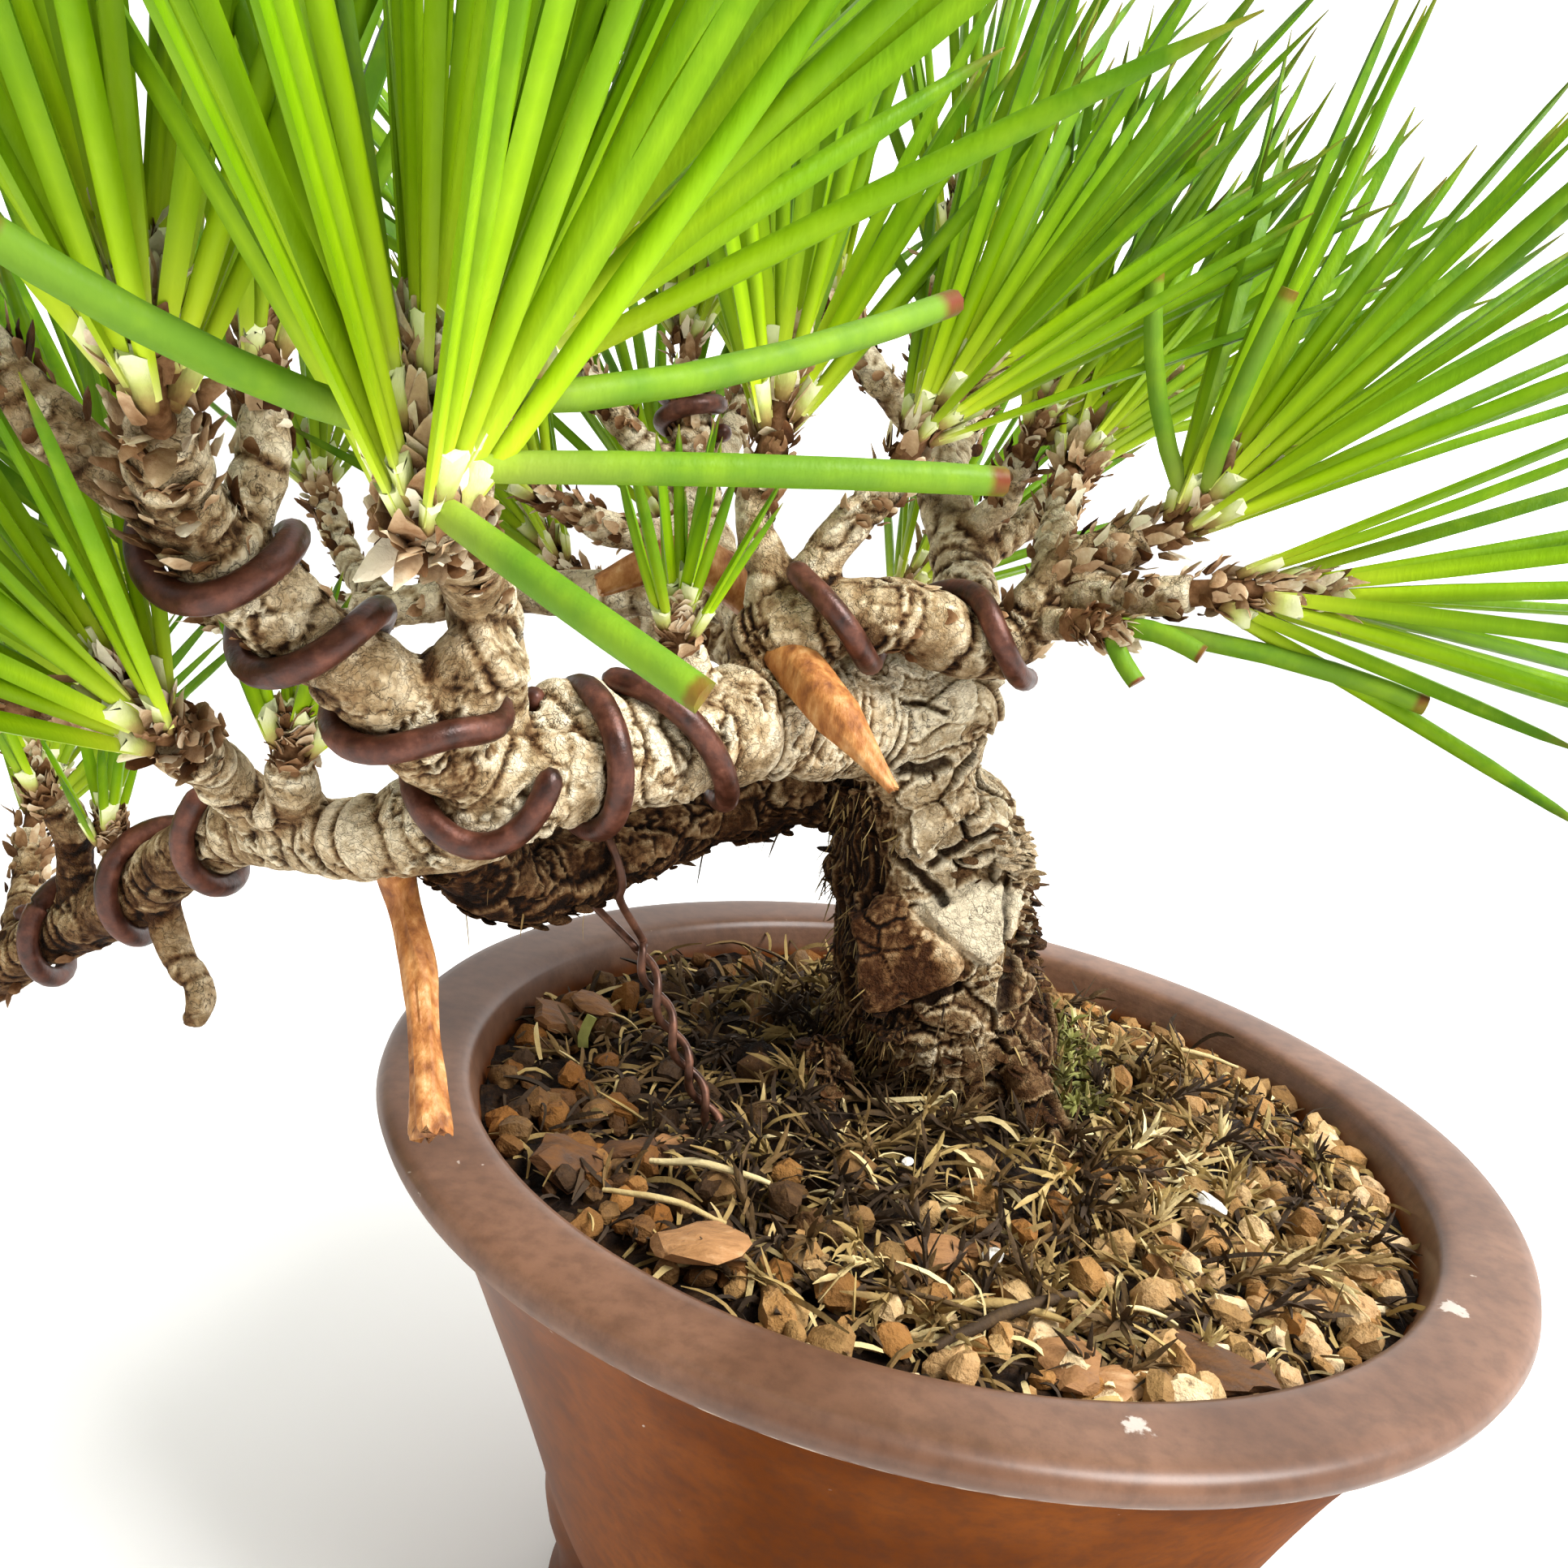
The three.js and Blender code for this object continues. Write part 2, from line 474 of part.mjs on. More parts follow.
function pot() {
  const turns = Array.from({ length: FOOT_COUNT }, (_, i) => i * 2 * Math.PI / FOOT_COUNT);
  const feet = turns.map((turn) => solid(potFoot(FOOT_FIRST_ANGLE + turn)));
  const drains = turns.map((turn) => solid(new THREE.CylinderGeometry(DRAIN_RADIUS, DRAIN_RADIUS, 20, 10)
    .rotateX(Math.PI / 2).translate(DRAIN_CIRCLE * Math.cos(turn), DRAIN_CIRCLE * Math.sin(turn), 0)));
  return joined([solid(potShell()), ...feet]).subtract(joined(drains));
}

// ---- Wood ------------------------------------------------------------------------------------

// A limb is a round section carried along its path, with swellings and ring wrinkles.
function limbGeometry(path, sides, steps, uneven, phase) {
  const rings = [];
  for (let i = 0; i <= steps; i++) {
    const t = i / steps;
    const ends = Math.min(1, 6 * (1 - t));
    rings.push(Array.from({ length: sides }, (_, j) => {
      const angle = 2 * Math.PI * j / sides;
      const swell = 0.5 * Math.sin(2 * angle + 19 * t + phase)
        + 0.3 * Math.sin(3 * angle - 31 * t + 2 * phase) + 0.2 * Math.sin(47 * t + phase);
      return path.around(t, angle, path.radius(t) * (1 + uneven * ends * swell));
    }));
  }
  return loft(rings);
}

const paths = {};
for (const [name, branch] of Object.entries(BRANCHES)) {
  paths[name] = new Path(branch.route, branch.radii);
}

// Lumps that stand out of the trunk: two thick plates of bark in front, the ring at its foot and
// the knob at its top. Each has half its width, depth and height, and a turn about Z in radians.
const TRUNK_LUMPS = [
  { at: [-5.2, -3.4, 57], size: [4.4, 2.4, 4.2], turn: 0.1 },
  { at: [0.6, -3.4, 60], size: [2.6, 2.2, 3.2], turn: 0.5 },
  { at: [-3.4, -3.4, 51.6], size: [5.2, 2.5, 2.1], turn: 0.1 },
  { at: [-6, -1.6, 74], size: [3.4, 3.4, 2.9], turn: 0.2 },
];

function wood() {
  const pieces = [];
  Object.entries(LIMBS).forEach(([name, limb], i) => {
    pieces.push(solid(limbGeometry(paths[name], limb.sides, limb.steps, limb.uneven, i)));
  });
  Object.keys(TWIGS).forEach((name, i) => {
    const steps = TWIGS[name].route.length - 1;
    pieces.push(solid(limbGeometry(paths[name], TWIG_SIDES, steps, TWIG_UNEVEN, i)));
  });
  for (const { at, size, turn } of TRUNK_LUMPS) {
    pieces.push(solid(new THREE.IcosahedronGeometry(1, 1).scale(...size).rotateZ(turn).translate(...at)));
  }
  return joined(pieces);
}

// ---- Soil ------------------------------------------------------------------------------------

// A bell round the trunk, gentle waves, and a ring of moss and litter heaped at the trunk's foot.
function soilHeight(x, y) {
  const fromTrunk = Math.hypot(x - TRUNK_AT[0], y - TRUNK_AT[1]);
  const bell = Math.exp(-((fromTrunk / 17) ** 2));
  const litter = LITTER_DEPTH * Math.exp(-(((fromTrunk - LITTER_RADIUS) / 6) ** 2));
  return THREE.MathUtils.lerp(SOIL_EDGE, SOIL_CROWN, bell) + litter
    + 0.35 * Math.sin(0.55 * x + 1) * Math.sin(0.6 * y) + 0.2 * Math.sin(1.3 * x - 0.9 * y);
}

function soilBody() {
  const inside = POT_INSIDE.filter(([, z]) => z < SOIL_EDGE - 2).reverse();
  const rings = [];
  const ring = (radius, height) => Array.from({ length: SOIL_SPOKES }, (_, j) => {
    const angle = 2 * Math.PI * j / SOIL_SPOKES;
    const [x, y] = [radius * Math.cos(angle), radius * Math.sin(angle)];
    return new THREE.Vector3(x, y, height === undefined ? soilHeight(x, y) : height);
  });
  for (const [r, z] of inside) rings.push(ring(r - GAP, Math.max(z, FLOOR_TOP + GAP)));
  const edge = radiusAt(POT_INSIDE, SOIL_EDGE) - 1.5 * GAP;
  for (let i = 0; i < SOIL_RINGS; i++) rings.push(ring(edge * (1 - i / SOIL_RINGS)));
  return loft(rings);
}

// Large clay granules lie half sunk in the soil, in a spiral that fills the ring between the trunk
// and the wall. Each is a lump of eight faces, turned and sized by its number.
function granules() {
  const [inner, outer] = GRANULE_RING;
  const lumps = [];
  for (let i = 0; i < GRANULE_COUNT; i++) {
    const share = (i + 0.5) / GRANULE_COUNT;
    const radius = Math.sqrt(THREE.MathUtils.lerp(inner ** 2, outer ** 2, share));
    const [x, y] = [radius * Math.cos(GOLDEN_ANGLE * i), radius * Math.sin(GOLDEN_ANGLE * i)];
    if (Math.hypot(x - TRUNK_AT[0], y - TRUNK_AT[1]) < GRANULE_CLEARING) continue;
    const size = THREE.MathUtils.lerp(...GRANULE_SIZES, 0.5 + 0.5 * Math.sin(12.9 * i));
    const lump = new THREE.OctahedronGeometry(size, 0).scale(1, 0.85, 0.8);
    lump.rotateX(1.7 * i).rotateZ(0.9 * i).translate(x, y, soilHeight(x, y) + 0.25 * size);
    lumps.push(solid(lump));
  }
  return lumps;
}

// Plain holes where the trunk and the guy wire stand.
function soilHoles() {
  const trunk = { top: 10.9, bottom: 9.2, depth: 16, at: [-0.6, 4.6, 45.6], sides: 20 };
  const trunkHole = new THREE.CylinderGeometry(trunk.top, trunk.bottom, trunk.depth, trunk.sides)
    .rotateX(Math.PI / 2).translate(...trunk.at);
  const foot = vec(GUY_WIRE_FOOT);
  const along = vec(GUY_WIRE_KNOT).sub(foot).normalize();
  const hole = [foot.clone().addScaledVector(along, -1), foot.clone().addScaledVector(along, 7)];
  return joined([solid(trunkHole), solid(wireAlong(hole, GUY_WIRE_HOLE_RADIUS, 8))]);
}

// ---- Guy wire --------------------------------------------------------------------------------
// One thin copper wire, folded over the lower limb, with its two strands twisted down to the soil.

function guyWire() {
  const limb = paths.lower_limb;
  const clear = limb.radius(GUY_WIRE_SADDLE) * 1.12 + GUY_WIRE_RADIUS + GAP;
  const over = Array.from({ length: 9 }, (_, i) =>
    limb.around(GUY_WIRE_SADDLE, THREE.MathUtils.degToRad(GUY_WIRE_WRAP * (i / 4 - 1)), clear));
  const [foot, knot] = [vec(GUY_WIRE_FOOT), vec(GUY_WIRE_KNOT)];
  const along = knot.clone().sub(foot).normalize();
  const first = new THREE.Vector3(0, 1, 0).cross(along).normalize();
  const second = along.clone().cross(first);
  const strand = (half) => Array.from({ length: 15 }, (_, i) => {
    const t = i / 14;
    const angle = 2 * Math.PI * GUY_WIRE_TURNS * t + half;
    return foot.clone().lerp(knot, t)
      .addScaledVector(first, GUY_WIRE_TWIST_RADIUS * Math.cos(angle))
      .addScaledVector(second, GUY_WIRE_TWIST_RADIUS * Math.sin(angle))
      .add(new THREE.Vector3(0, -GUY_WIRE_SAG * Math.sin(Math.PI * t), 0));
  });
  const route = [...strand(0), ...over, ...strand(Math.PI).reverse()];
  return wireAlong(route, GUY_WIRE_RADIUS, 5);
}

// ---- Wires -----------------------------------------------------------------------------------

function wireAlong(points, radius, sides = WIRE_SIDES) {
  const curve = new THREE.CatmullRomCurve3(points, false, 'centripetal');
  const section = new THREE.Shape(Array.from({ length: sides }, (_, i) => {
    const angle = 2 * Math.PI * i / sides;
    return new THREE.Vector2(radius * Math.cos(angle), radius * Math.sin(angle));
  }));
  return new THREE.ExtrudeGeometry(section, {
    steps: points.length - 1, extrudePath: curve, bevelEnabled: false, curveSegments: 1,
  });
}

function trainingWirePoints({ limb, from, to, turns, start }, clearance) {
  const path = paths[limb];
  const count = Math.round(WIRE_POINTS_PER_TURN * Math.abs(turns));
  return Array.from({ length: count + 1 }, (_, i) => {
    const t = THREE.MathUtils.lerp(from, to, i / count);
    const angle = THREE.MathUtils.degToRad(start) + 2 * Math.PI * turns * i / count;
    const point = path.around(t, angle, path.radius(t) + GAP + WIRE_RADIUS);
    return clearance.lift(point, WIRE_RADIUS + GAP + WIRE_BEND_ROOM);
  });
}

// ---- Needles ---------------------------------------------------------------------------------

// Keeps what already stands in the way, as rods, so that a new needle is bent or drawn clear.
class Clearance {
  constructor() { this.rods = []; }

  add(node, points, radii) {
    for (let i = 0; i + 1 < points.length; i++) {
      this.rods.push({ node, a: points[i], b: points[i + 1], r: Math.max(radii[i], radii[i + 1]) });
    }
  }

  // Moves a point out of every rod until it has the room asked for.
  lift(point, room) {
    for (let round = 0; round < 12; round++) {
      for (const { a, b, r } of this.rods) {
        const near = new THREE.Line3(a, b).closestPointToPoint(point, true, new THREE.Vector3());
        const away = point.clone().sub(near);
        if (away.length() < r + room) point.copy(near).addScaledVector(away.normalize(), r + room);
      }
    }
    return point;
  }

  free(node, points, radius) {
    for (let i = 0; i + 1 < points.length; i++) {
      for (const rod of this.rods) {
        if (rod.node === node) continue;
        if (rodDistance(points[i], points[i + 1], rod.a, rod.b) < rod.r + radius + GAP) return false;
      }
    }
    return true;
  }
}

// Shortest distance between two straight stretches.
function rodDistance(p1, q1, p2, q2) {
  const d1 = q1.clone().sub(p1);
  const d2 = q2.clone().sub(p2);
  const r = p1.clone().sub(p2);
  const [a, e, f, c, b] = [d1.dot(d1), d2.dot(d2), d2.dot(r), d1.dot(r), d1.dot(d2)];
  const clamp = (x) => THREE.MathUtils.clamp(x, 0, 1);
  const denominator = a * e - b * b;
  let s = denominator > 1e-9 ? clamp((b * f - c * e) / denominator) : 0;
  let t = (b * s + f) / e;
  if (t < 0) { t = 0; s = clamp(-c / a); } else if (t > 1) { t = 1; s = clamp((b - c) / a); }
  return p1.clone().addScaledVector(d1, s).distanceTo(p2.clone().addScaledVector(d2, t));
}

// A three-sided needle from root to tip, over its bend, flat face inwards.
function needleGeometry([root, bend, tip], cut = false) {
  const curve = new THREE.QuadraticBezierCurve3(root, bend, tip);
  const stations = cut ? [[0, 0.55], [0.5, 1], [1, 0.85]] : [[0, 0.5], [0.45, 1]];
  const rings = stations.map(([t, scale]) => {
    const centre = curve.getPoint(t);
    const along = curve.getTangent(t);
    const side = new THREE.Vector3(0.31, 0.22, 0.92).cross(along).normalize();
    const out = along.clone().cross(side);
    return [[-0.5, -0.4], [0.5, -0.4], [0, 0.6]].map(([u, v]) => centre.clone()
      .addScaledVector(side, u * NEEDLE_WIDTH * scale).addScaledVector(out, v * NEEDLE_DEPTH * scale));
  });
  return loft(rings, cut ? undefined : tip);
}

// The slim woody core starts a gap above the twig's flat end and bends towards the tuft's aim.
function corePoints(name) {
  const { centre, along } = paths[name].frame(1);
  const aim = vec(TUFTS[name].aim).normalize();
  const length = THREE.MathUtils.clamp(CORE_SHARE * TUFTS[name].length, ...CORE_LENGTHS);
  const start = centre.addScaledVector(along, GAP + 0.05);
  const turn = start.clone().addScaledVector(along, 0.3 * length);
  return [start, turn, turn.clone().addScaledVector(aim, 0.7 * length)];
}

const cores = {};
for (const name of Object.keys(TUFTS)) {
  const points = corePoints(name);
  const twigRadius = BRANCHES[name].radii.at(-1);
  cores[name] = new Path(points.map((p) => p.toArray()), [twigRadius, CORE_RADIUS, 0.8 * CORE_RADIUS]);
}

function strayNeedles(name) {
  return (STRAY_NEEDLES[name] || []).map(([bend, tip], i) =>
    [cores[name].curve.getPoint(0.55 + 0.1 * i), vec(bend), vec(tip)]);
}

// Needles fan out round the core, in a spiral that starts at the middle, and each that has no room
// is turned on round the core until it has, or left out.
function fan(name, draw, clearance) {
  const { aim, needles, length, spread } = TUFTS[name];
  const main = vec(aim).normalize();
  const side = new THREE.Vector3(0, 0.2, 1).cross(main).normalize();
  const up = main.clone().cross(side);
  const drawn = [];
  for (let i = 0; i < needles; i++) {
    for (let attempt = 0; attempt < 30; attempt++) {
      const lean = THREE.MathUtils.degToRad(spread) * Math.sqrt((i + draw()) / needles);
      const turn = GOLDEN_ANGLE * i + 0.5 * draw() + 0.35 * attempt;
      const outward = side.clone().multiplyScalar(Math.cos(turn)).addScaledVector(up, Math.sin(turn));
      const direction = main.clone().multiplyScalar(Math.cos(lean))
        .addScaledVector(outward, Math.sin(lean));
      const root = cores[name].curve.getPoint(0.93 - 0.4 * i / needles)
        .addScaledVector(outward, CORE_RADIUS * Math.min(0.6, 0.12 * i));
      const reach = length * (0.84 + 0.16 * draw());
      const tip = root.clone().addScaledVector(direction, reach);
      const bend = root.clone().addScaledVector(direction, 0.5 * reach)
        .addScaledVector(main, 0.05 * reach * draw());
      if (!clearance.free(name, [root, bend, tip], NEEDLE_REACH)) continue;
      clearance.add(name, [root, bend, tip], [NEEDLE_REACH, NEEDLE_REACH, NEEDLE_REACH]);
      drawn.push([root, bend, tip]);
      break;
    }
  }
  return drawn;
}

function tuft(name, draw, clearance) {
  return joined([
    solid(limbGeometry(cores[name], CORE_SIDES, 2, 0, 0)),
    ...strayNeedles(name).map((points) => solid(needleGeometry(points, true))),
    ...fan(name, draw, clearance).map((points) => solid(needleGeometry(points))),
  ]);
}

// ---- Assembly --------------------------------------------------------------------------------

const group = new THREE.Group();

function place(name, geometry, material) {
  const mesh = new THREE.Mesh(geometry, material);
  mesh.name = name;
  group.add(mesh);
}

place('pot', geometryOf(pot()), STONEWARE);
place('soil', geometryOf(joined([solid(soilBody()), ...granules()]).subtract(soilHoles())), SOIL);
place('wood', geometryOf(wood()), BARK);

const draw = drawFrom(SEED);
const clearance = new Clearance();
for (const [name, branch] of Object.entries(BRANCHES)) {
  const path = paths[name];
  const count = 3 * (branch.route.length - 1);
  const places = Array.from({ length: count + 1 }, (_, i) => i / count);
  clearance.add('wood', places.map((t) => path.curve.getPoint(t)),
    places.map((t) => path.radius(t) * (1 + (branch.uneven || TWIG_UNEVEN))));
}
for (const name of Object.keys(TUFTS)) {
  const { curve } = cores[name];
  clearance.add(name, [0, 0.5, 1].map((t) => curve.getPoint(t)), Array(3).fill(CORE_RADIUS));
  for (const points of strayNeedles(name)) clearance.add(name, points, Array(3).fill(NEEDLE_REACH));
}
for (const [name, wire] of Object.entries(WIRES)) {
  const points = trainingWirePoints(wire, clearance);
  clearance.add(name, points, points.map(() => WIRE_RADIUS));
  place(name, wireAlong(points, WIRE_RADIUS), TRAINING_WIRE);
}
place('guy_wire', guyWire(), COPPER);

for (const [name, { dark }] of Object.entries(TUFTS)) {
  place(`tuft_${name}`, geometryOf(tuft(name, draw, clearance)), dark ? NEEDLE_DARK : NEEDLE_GREEN);
}

export default group;
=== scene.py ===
"""A small black pine grown as a bonsai, in a round unglazed stoneware pot.

Tables are in millimetres, and a mesh is in metres. +Z is up, and the origin is the middle of the
pot's flat base. The trunk leans out over the pot's left side, which is -X.
"""

import bpy
import numpy as np
from mathutils import Matrix


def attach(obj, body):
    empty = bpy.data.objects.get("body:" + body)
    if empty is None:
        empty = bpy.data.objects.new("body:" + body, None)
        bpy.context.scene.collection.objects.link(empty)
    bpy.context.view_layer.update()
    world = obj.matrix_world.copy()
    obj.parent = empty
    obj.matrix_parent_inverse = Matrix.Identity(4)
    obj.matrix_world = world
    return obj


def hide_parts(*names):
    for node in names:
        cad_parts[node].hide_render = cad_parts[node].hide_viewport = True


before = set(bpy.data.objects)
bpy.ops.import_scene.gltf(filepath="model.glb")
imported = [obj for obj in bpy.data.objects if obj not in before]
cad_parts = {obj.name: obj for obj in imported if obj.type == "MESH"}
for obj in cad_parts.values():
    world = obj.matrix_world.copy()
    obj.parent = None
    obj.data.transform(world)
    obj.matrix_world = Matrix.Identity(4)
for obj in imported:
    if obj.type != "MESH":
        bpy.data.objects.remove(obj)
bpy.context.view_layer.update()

# ---- Pot -------------------------------------------------------------------------------------
# A round pot thrown in brown stoneware and fired without glaze, with a broad flat lip. Three
# strap feet run down its wall to the ground, and its flat base has three drain holes.

MM = 0.001
POT_OUTSIDE = [(0.4, 0), (16.5, 0), (16.8, 1.5), (18.6, 1.8), (20.4, 5.2), (22.8, 9), (25.3, 14),
               (27.3, 20), (31.7, 31), (34.2, 36.6), (38, 43.2)]
POT_LIP = [(39.2, 43.7), (40, 44.4), (40, 45.1), (39.65, 45.75), (38.9, 46), (34.5, 46)]
POT_INSIDE = [(33.9, 45.5), (32.4, 40), (28, 30.5), (23.6, 19), (17.6, 7.5), (0.4, 7.5)]
FOOT_FACE = [(24, 0), (23.2, 2.6), (23.6, 4.8), (24.6, 7.6), (25.1, 10), (25.2, 13.2)]
FOOT_HALF_ANGLE = 0.36
BASE_EDGE, BASE_FLAT = 16.5, 11      # the base is flat out to the second, and each foot starts there
FEET, DRAINS = 3, 3
DRAIN_RADIUS, DRAIN_CIRCLE = 2.4, 9
POT_COLUMNS, POT_STEP = 168, 0.6
LIP_HEIGHT, LIP_EDGE = 46, (37.6, 38.4)
SCUFFS = [(29.0, -20.2, 1.9), (6.7, -35.7, 1.5)]      # x, y and reach


def colour(code):
    """A web colour such as "#70523f" as the light it sends back: each channel from its sRGB curve."""
    channels = [int(code[i:i + 2], 16) / 255 for i in (1, 3, 5)]
    return [c / 12.92 if c < 0.04045 else ((c + 0.055) / 1.055) ** 2.4 for c in channels] + [1]


class Value:
    """A number, colour or vector in a finish's nodes. Arithmetic on numbers adds Math nodes."""

    def __init__(self, finish, socket):
        self.finish, self.socket = finish, socket

    def math(self, operation, *values):
        return self.finish.node("ShaderNodeMath", {"operation": operation}, dict(enumerate(values)))

    def __add__(self, other):
        return self.math("ADD", self, other)

    def __sub__(self, other):
        return self.math("SUBTRACT", self, other)

    def __rsub__(self, other):
        return self.math("SUBTRACT", other, self)

    def __mul__(self, other):
        return self.math("MULTIPLY", self, other)

    def __truediv__(self, other):
        return self.math("DIVIDE", self, other)

    __radd__, __rmul__ = __add__, __mul__


class Finish:
    """A material round Blender's main shader. Sizes of its patterns are in millimetres."""

    def __init__(self, name, fixed):
        self.material = bpy.data.materials.new(name)
        self.material.use_nodes = True
        self.start(self.material.node_tree, "Principled BSDF", fixed)

    def start(self, tree, shader, fixed):
        """Takes up a tree's own shader, and sets the sockets that hold one value throughout."""
        self.nodes, self.links, self.shader = tree.nodes, tree.links, tree.nodes[shader]
        for socket, value in fixed.items():
            self.shader.inputs[socket].default_value = value

    def node(self, kind, settings, sockets, output=0):
        """Adds a node, sets it up, fills its sockets with numbers or links, and gives one output."""
        node = self.nodes.new(kind)
        for name, value in settings.items():
            if name != "stops":
                setattr(node, name, value)
                continue
            elements = node.color_ramp.elements
            while len(elements) < len(value):
                elements.new(1)
            for element, (position, shade) in zip(elements, value):
                element.position, element.color = position, shade
        for key, value in sockets.items():
            if isinstance(value, Value):
                self.links.new(value.socket, node.inputs[key])
            else:
                node.inputs[key].default_value = value
        return Value(self, node.outputs[output])

    def set(self, socket, value):
        self.links.new(value.socket, self.shader.inputs[socket])

    def place(self):
        return self.node("ShaderNodeTexCoord", {}, {}, "Object")

    def axis(self, name):
        return self.node("ShaderNodeSeparateXYZ", {}, {0: self.place()}, name) * 1000

    def layer(self, name):
        return self.node("ShaderNodeAttribute", {"attribute_name": name}, {}, "Fac")

    def spread(self, size, stretch=(1, 1, 1)):
        """The place, scaled so that a pattern's unit is size, times the stretch along each axis."""
        scale = [1000 / size / s for s in stretch]
        return self.node("ShaderNodeVectorMath", {"operation": "MULTIPLY"}, {0: self.place(), 1: scale})

    def noise(self, size, detail=4, stretch=(1, 1, 1)):
        return self.node("ShaderNodeTexNoise", {}, {"Vector": self.spread(size, stretch), "Scale": 1,
                                                    "Detail": detail, "Roughness": 0.6})

    def cracks(self, size, bend):
        """Distance to the edges of random cells, whose edges are bent by noise of half their size."""
        place = self.spread(size)
        sway = self.node("ShaderNodeTexNoise", {}, {"Vector": place, "Scale": 2, "Detail": 3}, "Color")
        bent = self.node("ShaderNodeVectorMath", {"operation": "MULTIPLY_ADD"},
                         {0: sway, 1: [bend] * 3, 2: place})
        return self.node("ShaderNodeTexVoronoi", {"feature": "DISTANCE_TO_EDGE"},
                         {"Vector": bent, "Scale": 1})

    def span(self, value, low, high, start=0, end=1):
        return self.node("ShaderNodeMapRange", {"interpolation_type": "SMOOTHSTEP"},
                         {"Value": value, "From Min": low, "From Max": high, "To Min": start, "To Max": end})

    def mix(self, share, first, second):
        """The first colour where the share is 0 and the second, a web colour or a value, where it is 1."""
        second = colour(second) if isinstance(second, str) else second
        return self.node("ShaderNodeMix", {"data_type": "RGBA"}, {0: share, 6: first, 7: second}, 2)

    def ramp(self, value, stops):
        stops = [(position, colour(code)) for position, code in stops]
        return self.node("ShaderNodeValToRGB", {"stops": stops}, {0: value})

    def bump(self, height, depth):
        self.set("Normal", self.node("ShaderNodeBump", {}, {"Height": height, "Distance": depth * MM,
                                                            "Strength": 1}))


def closed_grid(rows, columns):
    """Faces over points kept row by row, each row a closed ring: a quad between neighbours, and one
    flat face over each end."""
    row, here = np.arange(rows - 1)[:, None] * columns, np.arange(columns)
    after = (here + 1) % columns
    quads = np.stack([row + here, row + after, row + after + columns, row + here + columns], -1)
    return [quads.reshape(-1, 4), here[None, ::-1], here[None] + (rows - 1) * columns]


def piece(name, points, faces, finish, stands_for=(), layers=None, sharp=60):
    """One object of points in millimetres and blocks of faces, turned so that its volume, the sum
    of a . (b x c) over its triangles, is positive. It rides on the part. A layer is a number that
    is kept for each point, for the finish to read."""
    volume = sum((points[block[:, 0]] * np.cross(points[block[:, k]], points[block[:, k + 1]])).sum()
                 for block in faces for k in range(1, block.shape[1] - 1))
    faces = [block[:, ::-1] for block in faces] if volume < 0 else faces
    sizes = np.concatenate([np.full(len(block), block.shape[1]) for block in faces])
    corners = np.concatenate([block.ravel() for block in faces])
    mesh = bpy.data.meshes.new(name)
    mesh.vertices.add(len(points))
    mesh.vertices.foreach_set("co", (points * MM).astype(np.float32).ravel())
    mesh.loops.add(len(corners))
    mesh.loops.foreach_set("vertex_index", corners.astype(np.int32))
    mesh.polygons.add(len(sizes))
    mesh.polygons.foreach_set("loop_start", (np.cumsum(sizes) - sizes).astype(np.int32))
    mesh.update(calc_edges=True)
    mesh.shade_smooth()
    mesh.set_sharp_from_angle(angle=np.radians(sharp))
    for key, numbers in (layers or {}).items():
        mesh.attributes.new(key, "FLOAT", "POINT").data.foreach_set("value", numbers.astype(np.float32))
    mesh.materials.append(finish.material)
    made = bpy.data.objects.new(name, mesh)
    bpy.context.scene.collection.objects.link(made)
    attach(made, "root")
    if stands_for:
        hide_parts(*stands_for)
    return made


def settle(made):
    """Puts what an object's modifiers make of it into its mesh."""
    mesh = bpy.data.meshes.new_from_object(made.evaluated_get(bpy.context.evaluated_depsgraph_get()))
    made.modifiers.clear()
    made.data = mesh


def scatter(cells, seed):
    """An even random number from -1 to 1 for each row of three whole numbers, by mixing bits."""
    mixed = cells[..., 0] * 73856093 ^ cells[..., 1] * 19349663 ^ cells[..., 2] * 83492791
    mixed = (mixed ^ seed * 374761393) & 0xffffffff
    for shift, factor in ((15, 0x2c1b3c6d), (12, 0x297a2d39)):
        mixed = ((mixed ^ (mixed >> shift)) * factor) & 0xffffffff
    return (mixed ^ (mixed >> 15)) / 2 ** 31 - 1


def noise(points, size, seed=0):
    """Smooth numbers from -1 to 1 that change over "size": random numbers on the corners of a
    lattice of cubes, blended inside each cube by 3t^2 - 2t^3 along each axis."""
    cell = np.floor(points / size).astype(np.int64)
    t = points / size - cell
    t = t * t * (3 - 2 * t)
    total = 0
    for corner in np.ndindex(2, 2, 2):
        total = total + np.where(corner, t, 1 - t).prod(-1) * scatter(cell + corner, seed)
    return total


def rough(points, size, seed=0, octaves=4):
    """Noise of several sizes added up, each half as large and half as strong as the last."""
    return sum(noise(points, size / 2 ** k, seed + k) / 2 ** k for k in range(octaves)) / 1.8


def whole_turn(count):
    """Angles spread evenly round a full turn."""
    return np.linspace(0, 2 * np.pi, count, endpoint=False)


def about(radius, angle, height):
    """Points at a radius and an angle round the Z axis, and at a height."""
    return np.stack(np.broadcast_arrays(radius * np.cos(angle), radius * np.sin(angle), height), -1)


def cut_corners(profile, times):
    """Rounds a profile off: each round puts points at a quarter and three quarters of each side."""
    profile = np.array(profile, float)
    for _ in range(times):
        a, b = profile[:-1], profile[1:]
        middle = np.stack([0.75 * a + 0.25 * b, 0.25 * a + 0.75 * b], 1).reshape(-1, 2)
        profile = np.concatenate([profile[:1], middle, profile[-1:]])
    return profile


def steps(line):
    """The lengths of a line's straight steps."""
    return np.linalg.norm(np.diff(np.array(line, float), axis=0), axis=1)


